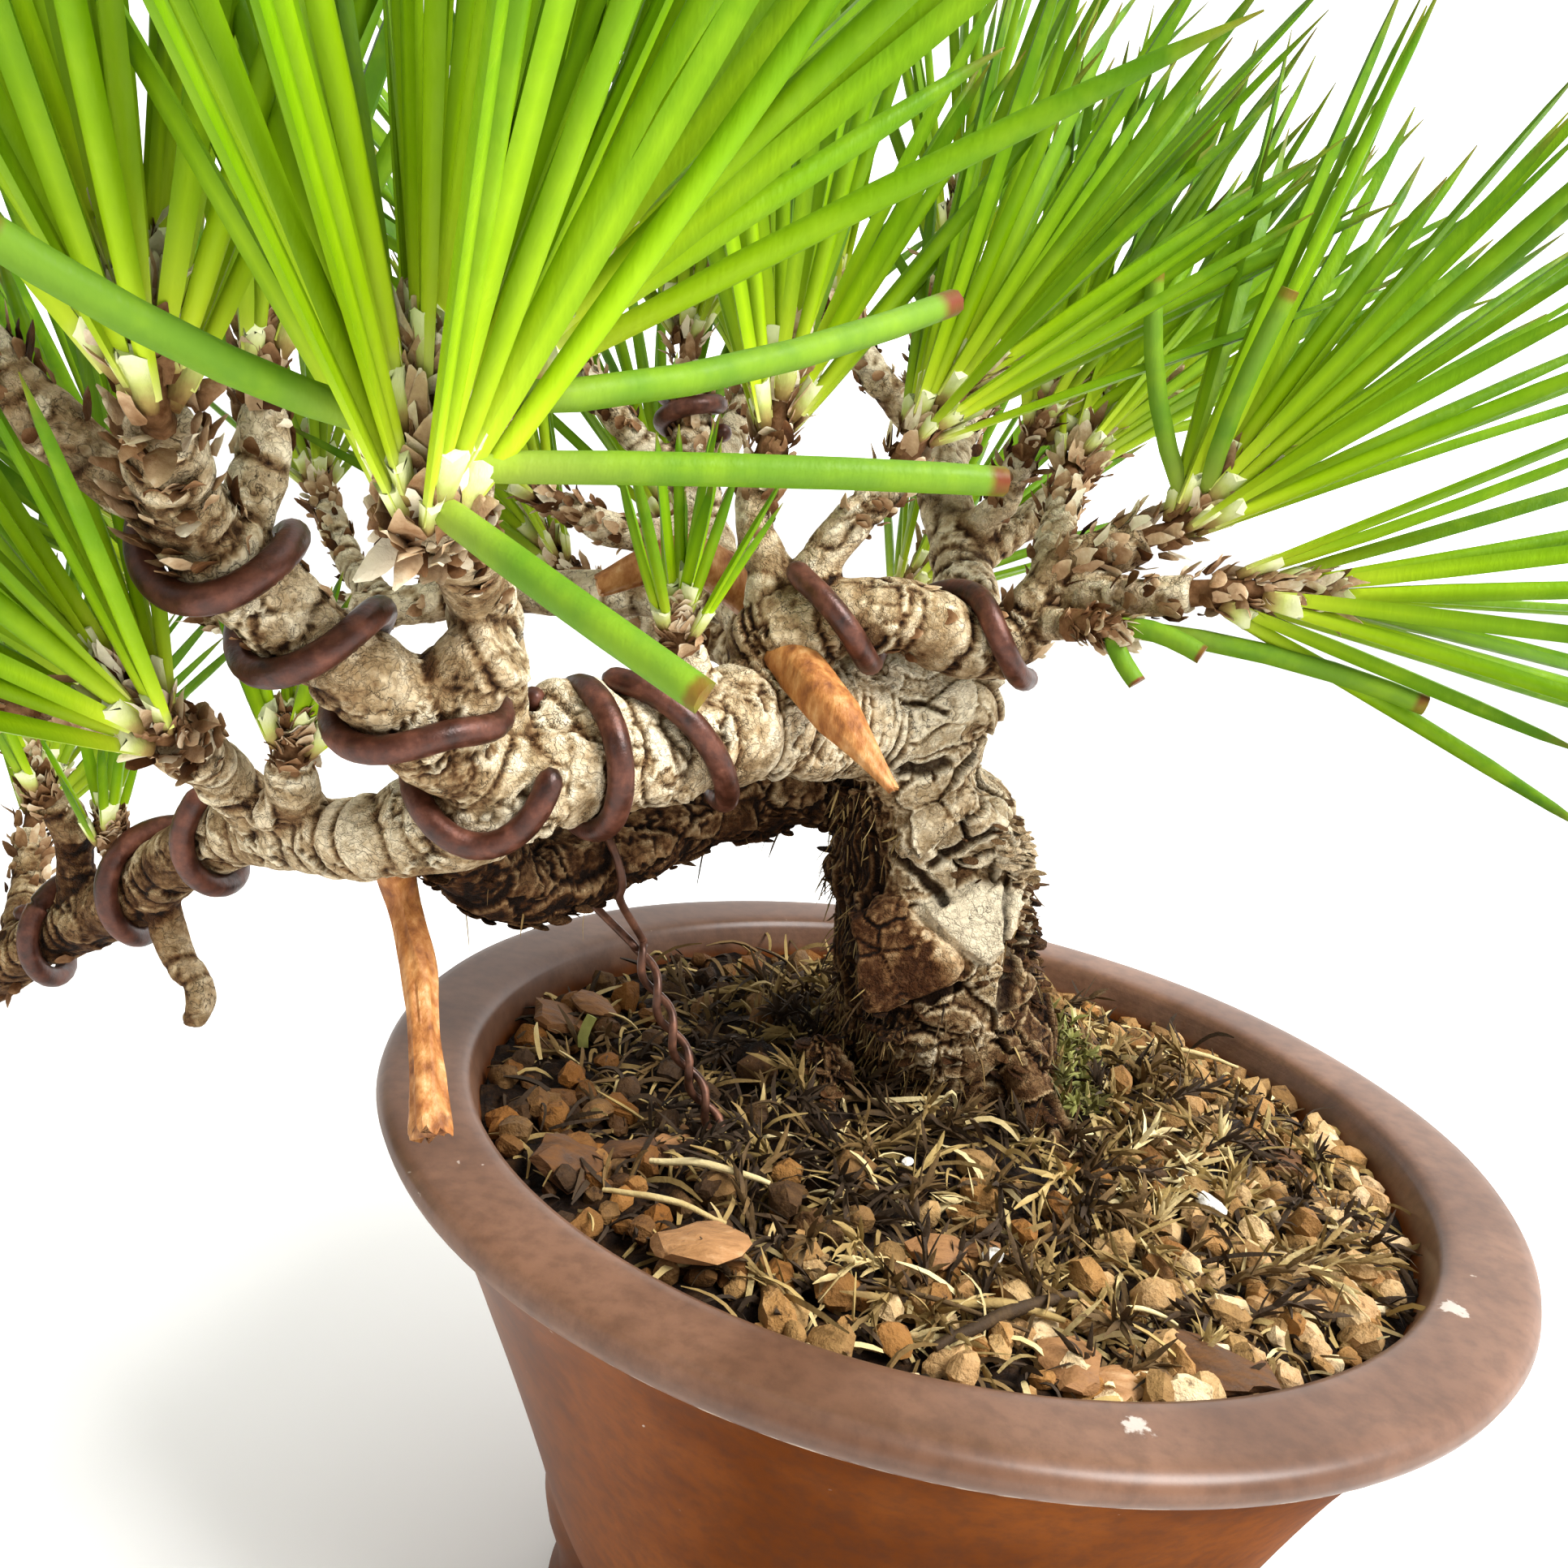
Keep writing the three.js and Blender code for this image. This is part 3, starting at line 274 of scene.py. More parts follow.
def evenly(line, step):
    """The same line with points a step apart, by its length."""
    length = np.append(0, np.cumsum(steps(line)))
    at = np.linspace(0, length[-1], int(length[-1] / step))
    return np.stack([np.interp(at, length, column) for column in line.T], -1)


profile = evenly(cut_corners(POT_OUTSIDE + POT_LIP + POT_INSIDE, 3), POT_STEP)
outside = (np.arange(len(profile)) < profile[:, 1].argmax())[:, None]
radius, height = profile[:, :1], profile[:, 1:]
turn = whole_turn(POT_COLUMNS)[None]
# How much of a foot there is: 1 at its middle, and 1 - across^4 towards its sides.
foot = 0
for middle in np.pi + whole_turn(FEET):
    across = (np.mod(turn - middle + np.pi, 2 * np.pi) - np.pi) / FOOT_HALF_ANGLE
    foot = np.maximum(foot, 1 - across ** 4)
foot_r, foot_z = np.array(FOOT_FACE).T
strap = np.interp(height, foot_z, foot_r)
# On the ground, the flat base is drawn out to the foot's own radius.
base = radius + np.maximum(0, radius - BASE_FLAT) / (BASE_EDGE - BASE_FLAT) * (foot_r[0] - BASE_EDGE)
strap = np.where(height < 0.05, base, np.maximum(strap, radius))
strap = np.where((height < foot_z[-1]) & outside, strap, radius)
radius = radius + foot * (strap - radius)
points = about(radius, turn, height)
# The thrower's hand left the wall and the lip a little uneven.
hand = noise(points * [1, 1, 1.6], 16, 3) * 0.16 * np.clip((points[..., 2] - 2) / 8, 0, 1)
points[..., :2] *= 1 + (hand / np.maximum(radius, 5))[..., None]
points[..., 2] += noise(points, 21, 5) * 0.16 * (height > 40)

clay = Finish("unglazed_brown_stoneware", {"IOR": 1.5, "Specular IOR Level": 0.0, "Coat Roughness": 0.34})
grain = clay.noise(1.1, 8)
cloud = clay.noise(14, 3)
rising = clay.axis("Z")
lip = clay.span(rising, 42.6, 44)
# One clay painted in two colours by how the light fell: the lip lighter and greyer, as painted light, and the
# wall darker and more orange, as painted shade with a painted warm reflection.
shaded_wall_colour, lit_lip_colour = (clay.mix(clay.span(cloud, 0.35, 0.68), colour(dark), pale)
                           for dark, pale in (("#54290a", "#6e3b14"), ("#5c3f2e", "#745441")))
stone = clay.mix(lip, shaded_wall_colour, lit_lip_colour)
stone = clay.mix(clay.span(grain, 0.35, 0.7, 0, 0.35), stone, "#33221a")
specks = clay.span(clay.noise(0.9, 2), 0.74, 0.79) * clay.span(clay.noise(9, 2), 0.5, 0.62)
stone = clay.mix(specks * 0.75, stone, "#a8988b")
# Two white scuffs on the lip, each a patch of broken scratches round its own place.
scuffed = 0
for x, y, reach in SCUFFS:
    away = clay.node("ShaderNodeVectorMath", {"operation": "DISTANCE"},
                     {0: clay.place(), 1: (x * MM, y * MM, LIP_HEIGHT * MM)}, "Value") * 1000
    scuffed = scuffed + clay.span(away / reach + clay.noise(0.7, 5) * 1.6, 1.25, 1.0)
stone = clay.mix(scuffed.math("MINIMUM", scuffed, 0.85), stone, "#b5aaa0")
# A painted highlight: a pale broken line along the lip's lower edge.
rightward, backward = clay.axis("X"), clay.axis("Y")
outer = clay.span(rightward * rightward + backward * backward, *np.square(LIP_EDGE))
edge_highlight = clay.span(rising, 43.5, 43.75) * clay.span(rising, 44.3, 44.05) * outer
edge_highlight = edge_highlight * clay.span(clay.noise(2.2, 4), 0.44, 0.56)
clay.set("Base Color", clay.mix(edge_highlight * 0.7, stone, "#c9b8a6"))
clay.set("Roughness", clay.span(clay.noise(5, 5), 0.3, 0.7, 0.34, 0.5) + lip * 0.08 + grain * 0.06)
# A faint sheen, as a thin coat: on the lip, and down the wall's sides, most of all the left one.
burnished = clay.span(rightward, -10, -32) * 0.7 + clay.span(rightward, 14, 34) * 0.2
clay.set("Coat Weight", lip * 0.6 + burnished * (1 - lip) + 0.04)
trimming = clay.noise(0.55, 2, (40, 40, 1))
clay.bump(grain * 0.5 + trimming * 0.35 + clay.noise(0.35, 2) * 0.2 + cloud * 0.8, 0.12)

pot = piece("pot_stoneware", points.reshape(-1, 3), closed_grid(*radius.shape), clay, ["pot"])
drill = about(DRAIN_RADIUS, turn[:, ::5], np.array([[-2], [10]]))
for middle in whole_turn(DRAINS):
    at = about(DRAIN_CIRCLE, middle, 0)
    drain = piece("drain", (drill + at).reshape(-1, 3), closed_grid(*drill.shape[:2]), clay)
    cut = pot.modifiers.new("drain", "BOOLEAN")
    cut.object, cut.operation, cut.solver = drain, "DIFFERENCE", "EXACT"
    settle(pot)
    bpy.data.objects.remove(drain)

# ---- Soil ------------------------------------------------------------------------------------
# A mix of dark compost and fired clay granules fills the pot to just under its lip, heaped a
# little round the trunk. Its top is lumpy, wet and nearly black between the granules.

SOIL_EDGE, SOIL_CROWN, TRUNK_AT = 43.2, 46.6, (-0.5, 4.0)
LITTER_DEPTH, LITTER_RADIUS, COMPOST_DROP = 0.8, 13, 0.75
SOIL_WALL = [(0.4, 7.8), (17.3, 7.8), (23.3, 19), (27.7, 30.5), (32.1, 40), (32.9, 42.4)]
SOIL_SPOKES, SOIL_RINGS = 220, 86


def from_trunk(x, y):
    """Distance over the ground from the trunk's middle."""
    return np.hypot(x - TRUNK_AT[0], y - TRUNK_AT[1])


def soil_height(x, y):
    """Mean height of the litter: a bell round the trunk, gentle waves, and a ring heaped at its foot."""
    bell = np.exp(-(from_trunk(x, y) / 17) ** 2)
    heap = LITTER_DEPTH * np.exp(-((from_trunk(x, y) - LITTER_RADIUS) / 6) ** 2)
    waves = 0.35 * np.sin(0.55 * x + 1) * np.sin(0.6 * y) + 0.2 * np.sin(1.3 * x - 0.9 * y)
    return SOIL_EDGE + (SOIL_CROWN - SOIL_EDGE) * bell + heap + waves


def compost_height(x, y):
    """The compost under the litter: lower than its mean height, with lumps of several sizes."""
    return soil_height(x, y) - COMPOST_DROP + 0.5 * rough(np.stack([x, y, 0 * x], -1), 3.2, 7)


wall = np.array(SOIL_WALL)
radius = np.append(wall[:, 0], np.linspace(33.1, 0.3, SOIL_RINGS))[:, None]
points = about(radius, whole_turn(SOIL_SPOKES), 0.0)
points[..., 2] = compost_height(points[..., 0], points[..., 1])
points[:len(wall), :, 2] = wall[:, 1:]
points[len(wall):, :, 2] += 0.45 * rough(points[len(wall):], 1.1, 19)

earth = Finish("wet_compost", {"IOR": 1.4, "Specular IOR Level": 0.2})
crumbs = earth.noise(1.2, 8)
earth.set("Base Color", earth.ramp(crumbs, [(0.3, "#060301"), (0.5, "#180c04"), (0.66, "#33200d"),
                                            (0.8, "#57381a")]))
earth.set("Roughness", earth.span(earth.noise(2.5, 3), 0.35, 0.65, 0.55, 0.95))
earth.bump(crumbs + earth.noise(0.4, 3) * 0.4, 0.5)
piece("soil_compost", points.reshape(-1, 3), closed_grid(*points.shape[:2]), earth, ["soil"])

# ---- Clay granules, bark chips and grit --------------------------------------------------------
# Baked clay granules of two to three millimetres lie thickest along the pot's wall, at the right
# and in front. Flat chips of pine bark, some of them and the dark clods in heaps, and bits of white
# shell lie among them.


def unit(ways):
    """The same directions, each with a length of 1."""
    return ways / np.linalg.norm(ways, axis=-1, keepdims=True)


def strands(lines, widths, section, lean):
    """Slim closed shapes along many lines at once. At each station of a line, the section's
    corners, in units of the width there, stand square to the line: the section's first axis is
    lean x along and its second is along x first, both unit vectors."""
    along = unit(np.gradient(lines, axis=1))
    first = unit(np.cross(np.broadcast_to(lean, lines.shape), along))
    second = np.cross(along, first)
    section = np.array(section, float)
    widths = np.broadcast_to(widths, lines.shape[:2])[..., None, None]
    corners = section[:, :1] * first[:, :, None] + section[:, 1:] * second[:, :, None]
    rings = lines[:, :, None] + widths * corners
    count, stations, sides = rings.shape[:3]
    start = (np.arange(count) * stations * sides)[:, None, None]
    faces = [(block[None] + start).reshape(-1, block.shape[1]) for block in closed_grid(stations, sides)]
    return rings.reshape(-1, 3), faces


def circle(sides):
    """A round section of radius 1."""
    return np.stack([np.cos(whole_turn(sides)), np.sin(whole_turn(sides))], -1)


def directions(draw, count):
    """Even random directions."""
    return unit(draw.normal(size=(count, 3)))


def shoves(points, size, seed):
    """Noise of its own along each axis."""
    return np.stack([noise(points, size, seed + k) for k in range(3)], -1)


def joined(shapes):
    """Several (points, faces) as one."""
    points = np.concatenate([p for p, _ in shapes])
    starts = np.cumsum([0] + [len(p) for p, _ in shapes[:-1]])
    return points, [block + start for start, (_, blocks) in zip(starts, shapes) for block in blocks]


def pebbles(draw, centres, sizes, flat=1.0, sides=6):
    """Lumps at many places: five rings each, as wide as a rounded bar, along a random short line,
    pushed about by noise so that no two are alike. flat under 1 makes chips of them. Gives the
    points, the faces and how many points each lump has."""
    count, chips = len(centres), flat < 1
    line = directions(draw, count) * [1, 1, 0.2 if chips else 0.35]
    line *= (sizes * draw.uniform(0.85, 1.25, count))[:, None]
    lines = centres[:, None] + line[:, None] * np.array([-0.95, -0.6, 0, 0.6, 0.95])[:, None]
    widths = sizes[:, None] * np.array([0.45, 0.85, 1, 0.88, 0.5]) * draw.uniform(0.75, 1.05, (count, 1))
    lean = [0, 0, 1] + 0.5 * directions(draw, count)[:, None]
    points, faces = strands(lines, widths, circle(sides) * [1, flat], lean)
    each = len(points) // count
    shift = np.repeat(draw.uniform(0, 500, (count, 3)), each, 0)
    push = shoves(points + shift, 1.3, 1) * np.repeat(sizes, each)[:, None]
    return points + push * 0.34 * [1, 1, 0.3 if chips else 1], faces, each


def soil_places(draw, count, inner, outer):
    """Random places on the soil between two radii from the pot's axis, and which of them are clear
    of the trunk."""
    radius = np.sqrt(draw.uniform(inner ** 2, outer ** 2, count))
    x, y, _ = about(radius, draw.uniform(0, 2 * np.pi, count), 0).T
    return np.stack([x, y, compost_height(x, y)], -1), from_trunk(x, y) > 8.4


def on_soil(draw, count, inner, outer, reject):
    """The clear ones of those places, without the ones that reject picks out by x and y."""
    places, clear = soil_places(draw, count, inner, outer)
    return places[clear & ~reject(*places[:, :2].T)]


def in_heaps(draw, count, inner, outer):
    """Only the first two of those places, over and over: the second for each place that is clear and
    the first for the others. What lies there makes one large heap and one small one. on_soil would
    spread it out."""
    places, clear = soil_places(draw, count, inner, outer)
    return places[clear.astype(int)]


def granule_gaps(x, y):
    """Leaves out granules away from the wall, more so behind and left than in front and right."""
    edge = np.hypot(x, y) / 33 + 0.24 * np.cos(np.arctan2(y, x) + 0.75)
    return scatter(np.stack([x * 97, y * 89, 0 * x], -1).astype(np.int64), 5) * 0.3 + edge < 0.78


LARGE_GRANULES, SMALL_GRANULES = 136, 1300
GRANULES_FROM, GRANULES_TO, GRANULE_CLEARING = 13, 31.4, 13.5
LEAST_LARGE, MOST_LARGE = 1.15, 1.65
GOLDEN_ANGLE = 2.39996
draw = np.random.default_rng(21)
# The large granules lie in a spiral that fills the ring between the trunk and the wall.
i = np.arange(LARGE_GRANULES)
part = (i + 0.5) / LARGE_GRANULES
radius = np.sqrt(GRANULES_FROM ** 2 + part * (GRANULES_TO ** 2 - GRANULES_FROM ** 2))
x, y, _ = about(radius, GOLDEN_ANGLE * i, 0).T
large = LEAST_LARGE + (MOST_LARGE - LEAST_LARGE) * (0.5 + 0.5 * np.sin(12.9 * i))
spiral = np.stack([x, y, soil_height(x, y) + 0.25 * large], -1)
clear = from_trunk(x, y) >= GRANULE_CLEARING
small = on_soil(draw, SMALL_GRANULES, 8, 32.3, granule_gaps)
sizes = 0.42 + 0.95 * draw.uniform(0, 1, len(small)) ** 1.4
small[:, 2] += 0.2 + sizes * 0.25
centres, sizes = np.concatenate([spiral[clear], small]), np.concatenate([0.8 * large[clear], sizes])
points, faces, each = pebbles(draw, centres, sizes)
baked = Finish("baked_clay_granules", {"IOR": 1.45, "Specular IOR Level": 0.25})
tone = baked.layer("tone")
pores = baked.noise(0.8, 6)
granule_colour = baked.ramp(tone * 0.8 + pores * 0.35, [
    (0.1, "#1c1108"), (0.28, "#46301a"), (0.48, "#74552f"), (0.68, "#9d7c4d"), (0.84, "#c3a578"),
    (1, "#e0cca6")])
granule_colour = baked.mix(baked.layer("rust") * 0.6, granule_colour, "#925c22")
baked.set("Base Color", baked.mix(baked.span(pores, 0.42, 0.3) * 0.7, granule_colour, "#24170e"))
baked.set("Roughness", baked.span(baked.noise(3, 3), 0.3, 0.7, 0.6, 0.95))
baked.bump(pores + baked.noise(0.25, 2) * 0.4, 0.28)
# They are paler in front and at the right, and darker in the middle and at the left.
x, y = centres[:, 0], centres[:, 1]
# dry runs from 0 at the back left to 1 at the front right.
dry = 0.5 + 0.5 * np.clip((x * 0.75 - y * 0.55) / 26, -1, 1)
middle = np.exp(-(np.hypot(x - 1, y) / 21) ** 4)
left = np.clip((-6 - x) / 16, 0, 1)
tones = draw.uniform(0, 1, len(x)) * 0.6 + 0.5 * dry - 0.3 * middle - 0.34 * left - 0.04
tones = np.clip(tones, 0.02, 1)
rust = draw.uniform(0, 1, len(x)) ** 2.2
piece("clay_granules", points, faces, baked, sharp=38,
      layers={"tone": np.repeat(tones, each), "rust": np.repeat(rust, each)})

CLODS, CHIPS = 420, 190
clods = in_heaps(draw, CLODS, 9, 31.5) + [0, 0, 0.3]
points, faces, _ = pebbles(draw, clods, draw.uniform(0.7, 1.5, CLODS))
piece("compost_clods", points, faces, earth, sharp=45)

chips = in_heaps(draw, CHIPS, 10, 31.5) + [0, 0, 0.35]
points, faces, each = pebbles(draw, chips, draw.uniform(0.6, 2.2, CHIPS), flat=0.28)
chip = Finish("bark_chips", {"IOR": 1.4})
fibre = chip.noise(0.7, 5, (2.4, 1, 1))
chip.set("Base Color", chip.ramp(chip.layer("tone") * 0.75 + fibre * 0.4, [
    (0.15, "#150d08"), (0.4, "#38220f"), (0.6, "#67421f"), (0.82, "#a07449"), (1, "#d0ab82")]))
chip.set("Roughness", chip.span(fibre, 0.3, 0.7, 0.6, 0.9))
chip.bump(fibre, 0.25)
piece("bark_chips", points, faces, chip, sharp=40,
      layers={"tone": np.repeat(draw.uniform(0, 1, CHIPS) ** 1.6, each)})

# The chips that lie on top: x, y, the height over the soil, the size and how pale each one is.
LAID_CHIPS = [(-15.6, -24.6, 1.5, 2.3, 0.8), (-13.9, -24.0, 0.6, 1.5, 0.62), (-1.9, -19.8, 0.5, 2.1, 0.72),
              (0.8, -19.3, 0.5, 1.7, 0.6), (5.3, -28.6, 0.5, 2.2, 0.7), (8.0, -28.9, 0.4, 1.8, 0.85),
              (24.3, 0.6, 0.4, 2.7, 0.46), (-29.4, 5.4, 0.5, 2.6, 0.5), (-26.9, 7.2, 0.9, 2.0, 0.56),
              (13.6, -26.0, 0.5, 2.9, 0.42), (-24.6, -15.8, 0.5, 2.5, 0.4), (-21.6, -12.4, 0.4, 2.1, 0.36)]
# The bits of shell: x, y, the height over the soil and the size.
SHELL_BITS = [(17.5, -9.4, 1.0, 1.15), (1.6, -20.4, 0.9, 0.7), (-3.4, -13.0, 0.9, 0.4)]


def over_soil(places):
    """Places given by x, y and the height over the soil."""
    return np.stack([places[..., 0], places[..., 1], soil_height(places[..., 0], places[..., 1])
                     + places[..., 2]], -1)


laid = np.array(LAID_CHIPS)
points, faces, each = pebbles(draw, over_soil(laid), laid[:, 3], flat=0.34, sides=9)
piece("laid_bark_chips", points, faces, chip, sharp=35, layers={"tone": np.repeat(laid[:, 4], each)})

shell = Finish("white_shell", {"IOR": 1.5, "Roughness": 0.35})
flakes = shell.noise(0.5, 5)
shell.set("Base Color", shell.ramp(flakes, [(0.3, "#8d8578"), (0.55, "#d8d4cc"), (0.75, "#f2f0ea")]))
shell.bump(flakes, 0.2)
laid = np.array(SHELL_BITS)
points, faces, _ = pebbles(draw, over_soil(laid), laid[:, 3], flat=0.5, sides=9)
piece("shell_bits", points, faces, shell, sharp=35)

# ---- Sphagnum, moss and litter on the soil -----------------------------------------------------
# Dried sphagnum lies over the soil round the trunk: short drooping stems set with fine straw
# leaves. Loose fibres, two bleached needles, a dead twig and one green sprout lie among them.


def arcs(draw, starts, ways, lengths, stations, rise=0.2, curl=0.3):
    """Bent lines: start + way L t + up L rise sin(pi t) + a random sideways L curl t^2."""
    t = np.linspace(0, 1, stations)[:, None]
    count = len(starts)
    sideways = np.cross(ways, [0, 0, 1]) * draw.uniform(-curl, curl, (count, 1))
    sideways[:, 2] += draw.uniform(-0.5, 0.5, count) * curl
    up = [0, 0, 1] * draw.uniform(0.3, 1, (count, 1)) * rise
    shape = ways[:, None] * t + up[:, None] * np.sin(np.pi * t) + sideways[:, None] * t ** 2
    return starts[:, None] + shape * np.reshape(lengths, (-1, 1, 1))


def swing(first, second, angle):
    """The direction that is turned by an angle from the first one towards the second."""
    return first * np.cos(angle) + second * np.sin(angle)


def fronds(draw, stems, leaves, length, width, open_angle):
    """Leaves along each stem: from places spread over its length, turned round it by the golden
    angle, and leaning out from it; each is a flat blade that narrows to its tip."""
    count, stations = stems.shape[:2]
    at = np.linspace(0.15, 1, leaves) * (stations - 1)
    low = np.minimum(at.astype(int), stations - 2)
    part = (at - low)[:, None]
    roots = stems[:, low] * (1 - part) + stems[:, low + 1] * part
    along = unit(np.gradient(stems, axis=1)[:, low])
    side = unit(np.cross(along, [0.1, 0.2, 1]))
    angle = (2.4 * np.arange(leaves) + draw.uniform(0, 6, (count, 1)))[..., None]
    out = swing(side, np.cross(side, along), angle)
    lean = open_angle * draw.uniform(0.5, 1.2, (count, leaves, 1))
    ways = swing(along, out, lean).reshape(-1, 3)
    lengths = length * draw.uniform(0.6, 1.2, count * leaves)
    lines = arcs(draw, roots.reshape(-1, 3), ways, lengths, 4, 0.08, 0.35)
    return strands(lines, width * np.array([0.6, 1, 0.7, 0.15]), circle(4) * [1, 0.35], out.reshape(-1, 1, 3))


draw = np.random.default_rng(33)
dried = Finish("dried_sphagnum", {"IOR": 1.4, "Roughness": 0.8})
blotch = dried.noise(1.6, 4)
dried.set("Base Color", dried.ramp(dried.layer("tone") * 0.85 + blotch * 0.3, [
    (0.1, "#120b05"), (0.32, "#35240f"), (0.52, "#664d28"), (0.76, "#a58c55"), (1, "#dccb9a")]))
dried.bump(dried.noise(0.3, 3), 0.08)


def beds(x, y):
    """Leaves sphagnum out towards the wall, apart from the front right, where it reaches out."""
    return np.hypot(x - 2.5, y + 3) + 5 * scatter(np.stack([x * 91, y * 83, x], -1).astype(np.int64), 9) > 25


STEMS, STEM_STATIONS, STEM_LEAVES, FROND_LEAF = 520, 5, 13, 4 * 4
starts = on_soil(draw, STEMS, 0, 31, beds)
ways = directions(draw, len(starts)) * [1, 1, 0.35] + [0, 0, 0.1]
stems = arcs(draw, starts, ways, draw.uniform(3, 6.5, len(starts)), STEM_STATIONS, 0.35, 0.5)
tones = np.clip(0.36 + 0.26 * draw.normal(size=len(stems)), 0.16, 0.85)
tones -= 0.1 * np.clip((-8 - starts[:, 0]) / 12, 0, 1)
bleached = np.hypot(starts[:, 0] - 15.4, starts[:, 1] + 8) < 5
tones[bleached] = draw.uniform(0.65, 1, bleached.sum())
points, faces = joined([strands(stems, 0.17, circle(4), [0.1, 0.3, 1]),
                        fronds(draw, stems, STEM_LEAVES, 2.2, 0.2, 0.6)])
leaf_tones = np.repeat(tones, STEM_LEAVES * FROND_LEAF)
leaf_tones = leaf_tones + draw.normal(size=len(leaf_tones)) * 0.02
piece("sphagnum", points, faces, dried, sharp=80,
      layers={"tone": np.concatenate([np.repeat(tones, STEM_STATIONS * 4), leaf_tones])})

LOOSE_FIBRES = 2300
starts = on_soil(draw, LOOSE_FIBRES, 0, 32,
                 lambda x, y: np.hypot(x - 1, y) * (0.7 + 0.3 * np.sin(x * 7 + y * 5)) > 26)
starts[:, 2] += draw.uniform(-0.1, 0.9, len(starts))
ways = directions(draw, len(starts)) * [1, 1, 0.4]
lines = arcs(draw, starts, ways, draw.uniform(1.6, 5, len(starts)), 6, 0.25, 0.8)
widths = draw.uniform(0.06, 0.23, (len(starts), 1)) * np.array([0.7, 1, 1, 1, 0.8, 0.3])
points, faces = strands(lines, widths, circle(3), [0.1, 0.3, 1])
tones = np.clip(draw.uniform(0, 0.95, len(starts)) - 0.15 * (starts[:, 0] < -12), 0.12, 1)
piece("loose_fibres", points, faces, dried, layers={"tone": np.repeat(tones, 6 * 3)}, sharp=80)

# Bleached needles and twigs that lie across the soil: two ends, by x, y and the height over the soil,
# the width at the middle and a tone.
LITTER = [((-19.8, -14.5, 0.9), (-12.1, -16.4, 1.4), 0.52, 0.93), ((-22, -19.5, 0.9), (-14.4, -21.9, 1.5),
          0.4, 0.8), ((-2.4, -28.6, 0.7), (6.6, -22.4, 0.9), 0.75, 0.2), ((-7, -24.5, 0.5),
          (3, -26.6, 0.8), 0.3, 0.3), ((-1.5, -25.4, 0.9), (5.2, -24.8, 0.7), 0.6, 0.62),
          ((17.6, 15.6, 0.9), (26, 14.6, 1.3), 0.42, 0.84), ((20, 9.4, 0.8), (25.5, 8.6, 0.9), 0.5, 0.5),
          ((8, -23.6, 0.8), (12.4, -22.4, 0.6), 0.3, 0.9)]
ends = over_soil(np.array([row[:2] for row in LITTER]))
t = np.linspace(0, 1, 12)[:, None]
lines = ends[:, :1] * (1 - t) + ends[:, 1:] * t + [0, 0, 0.5] * np.sin(np.pi * t)
lines = lines + 0.12 * shoves(lines, 1.7, 4)
widths, tones = np.array([row[2:] for row in LITTER]).T
widths = widths[:, None] / 2 * (1.05 - 1.1 * np.abs(t[:, 0] - 0.45) ** 1.6)
points, faces = strands(lines, widths, circle(6), [0.1, 0.2, 1])
piece("litter_twigs", points, faces, dried, sharp=70, layers={"tone": np.repeat(tones, 12 * 6)})

moss = Finish("live_moss", {"IOR": 1.4, "Roughness": 0.7})
moss.set("Base Color", moss.ramp(moss.layer("tone") * 0.8 + moss.noise(0.8, 3) * 0.3, [
    (0.15, "#35300f"), (0.45, "#66602a"), (0.7, "#8e8f4b"), (0.95, "#bcbc7c")]))
MOSSES, MOSS_LEAVES = 70, 12
SPROUT = [[(-26.8, 1.9, 0.2), (-26.9, 1.8, 1.1), (-26.7, 1.8, 2.0), (-26.4, 1.7, 2.8)]]
angle = draw.uniform(-0.7, 2.2, MOSSES)
starts = over_soil(about(draw.uniform(8.2, 12.5, MOSSES), angle, 0.2) + [*TRUNK_AT, 0])
ways = directions(draw, MOSSES) * [0.7, 0.7, 0.4] + [0, 0, 0.45]
stems = arcs(draw, starts, ways, draw.uniform(1.6, 3.6, MOSSES), 5, 0.2, 0.5)
points, faces = joined([fronds(draw, stems, MOSS_LEAVES, 1.3, 0.17, 0.8),
                        strands(over_soil(np.array(SPROUT)), 0.4, circle(4) * [1, 0.2], [0, 1, 0])])
tones = np.concatenate([np.repeat(draw.uniform(0, 0.8, MOSSES), MOSS_LEAVES * FROND_LEAF),
                        np.full(FROND_LEAF, 0.62)])
piece("green_moss", points, faces, moss, layers={"tone": tones}, sharp=80)

# ---- Trunk and live branches -------------------------------------------------------------------
# One growth of black pine wood. The trunk has thick flaking plates of bark over dark furrows, and
# the branches a thin grey-beige bark drawn into rings at each year's bend.

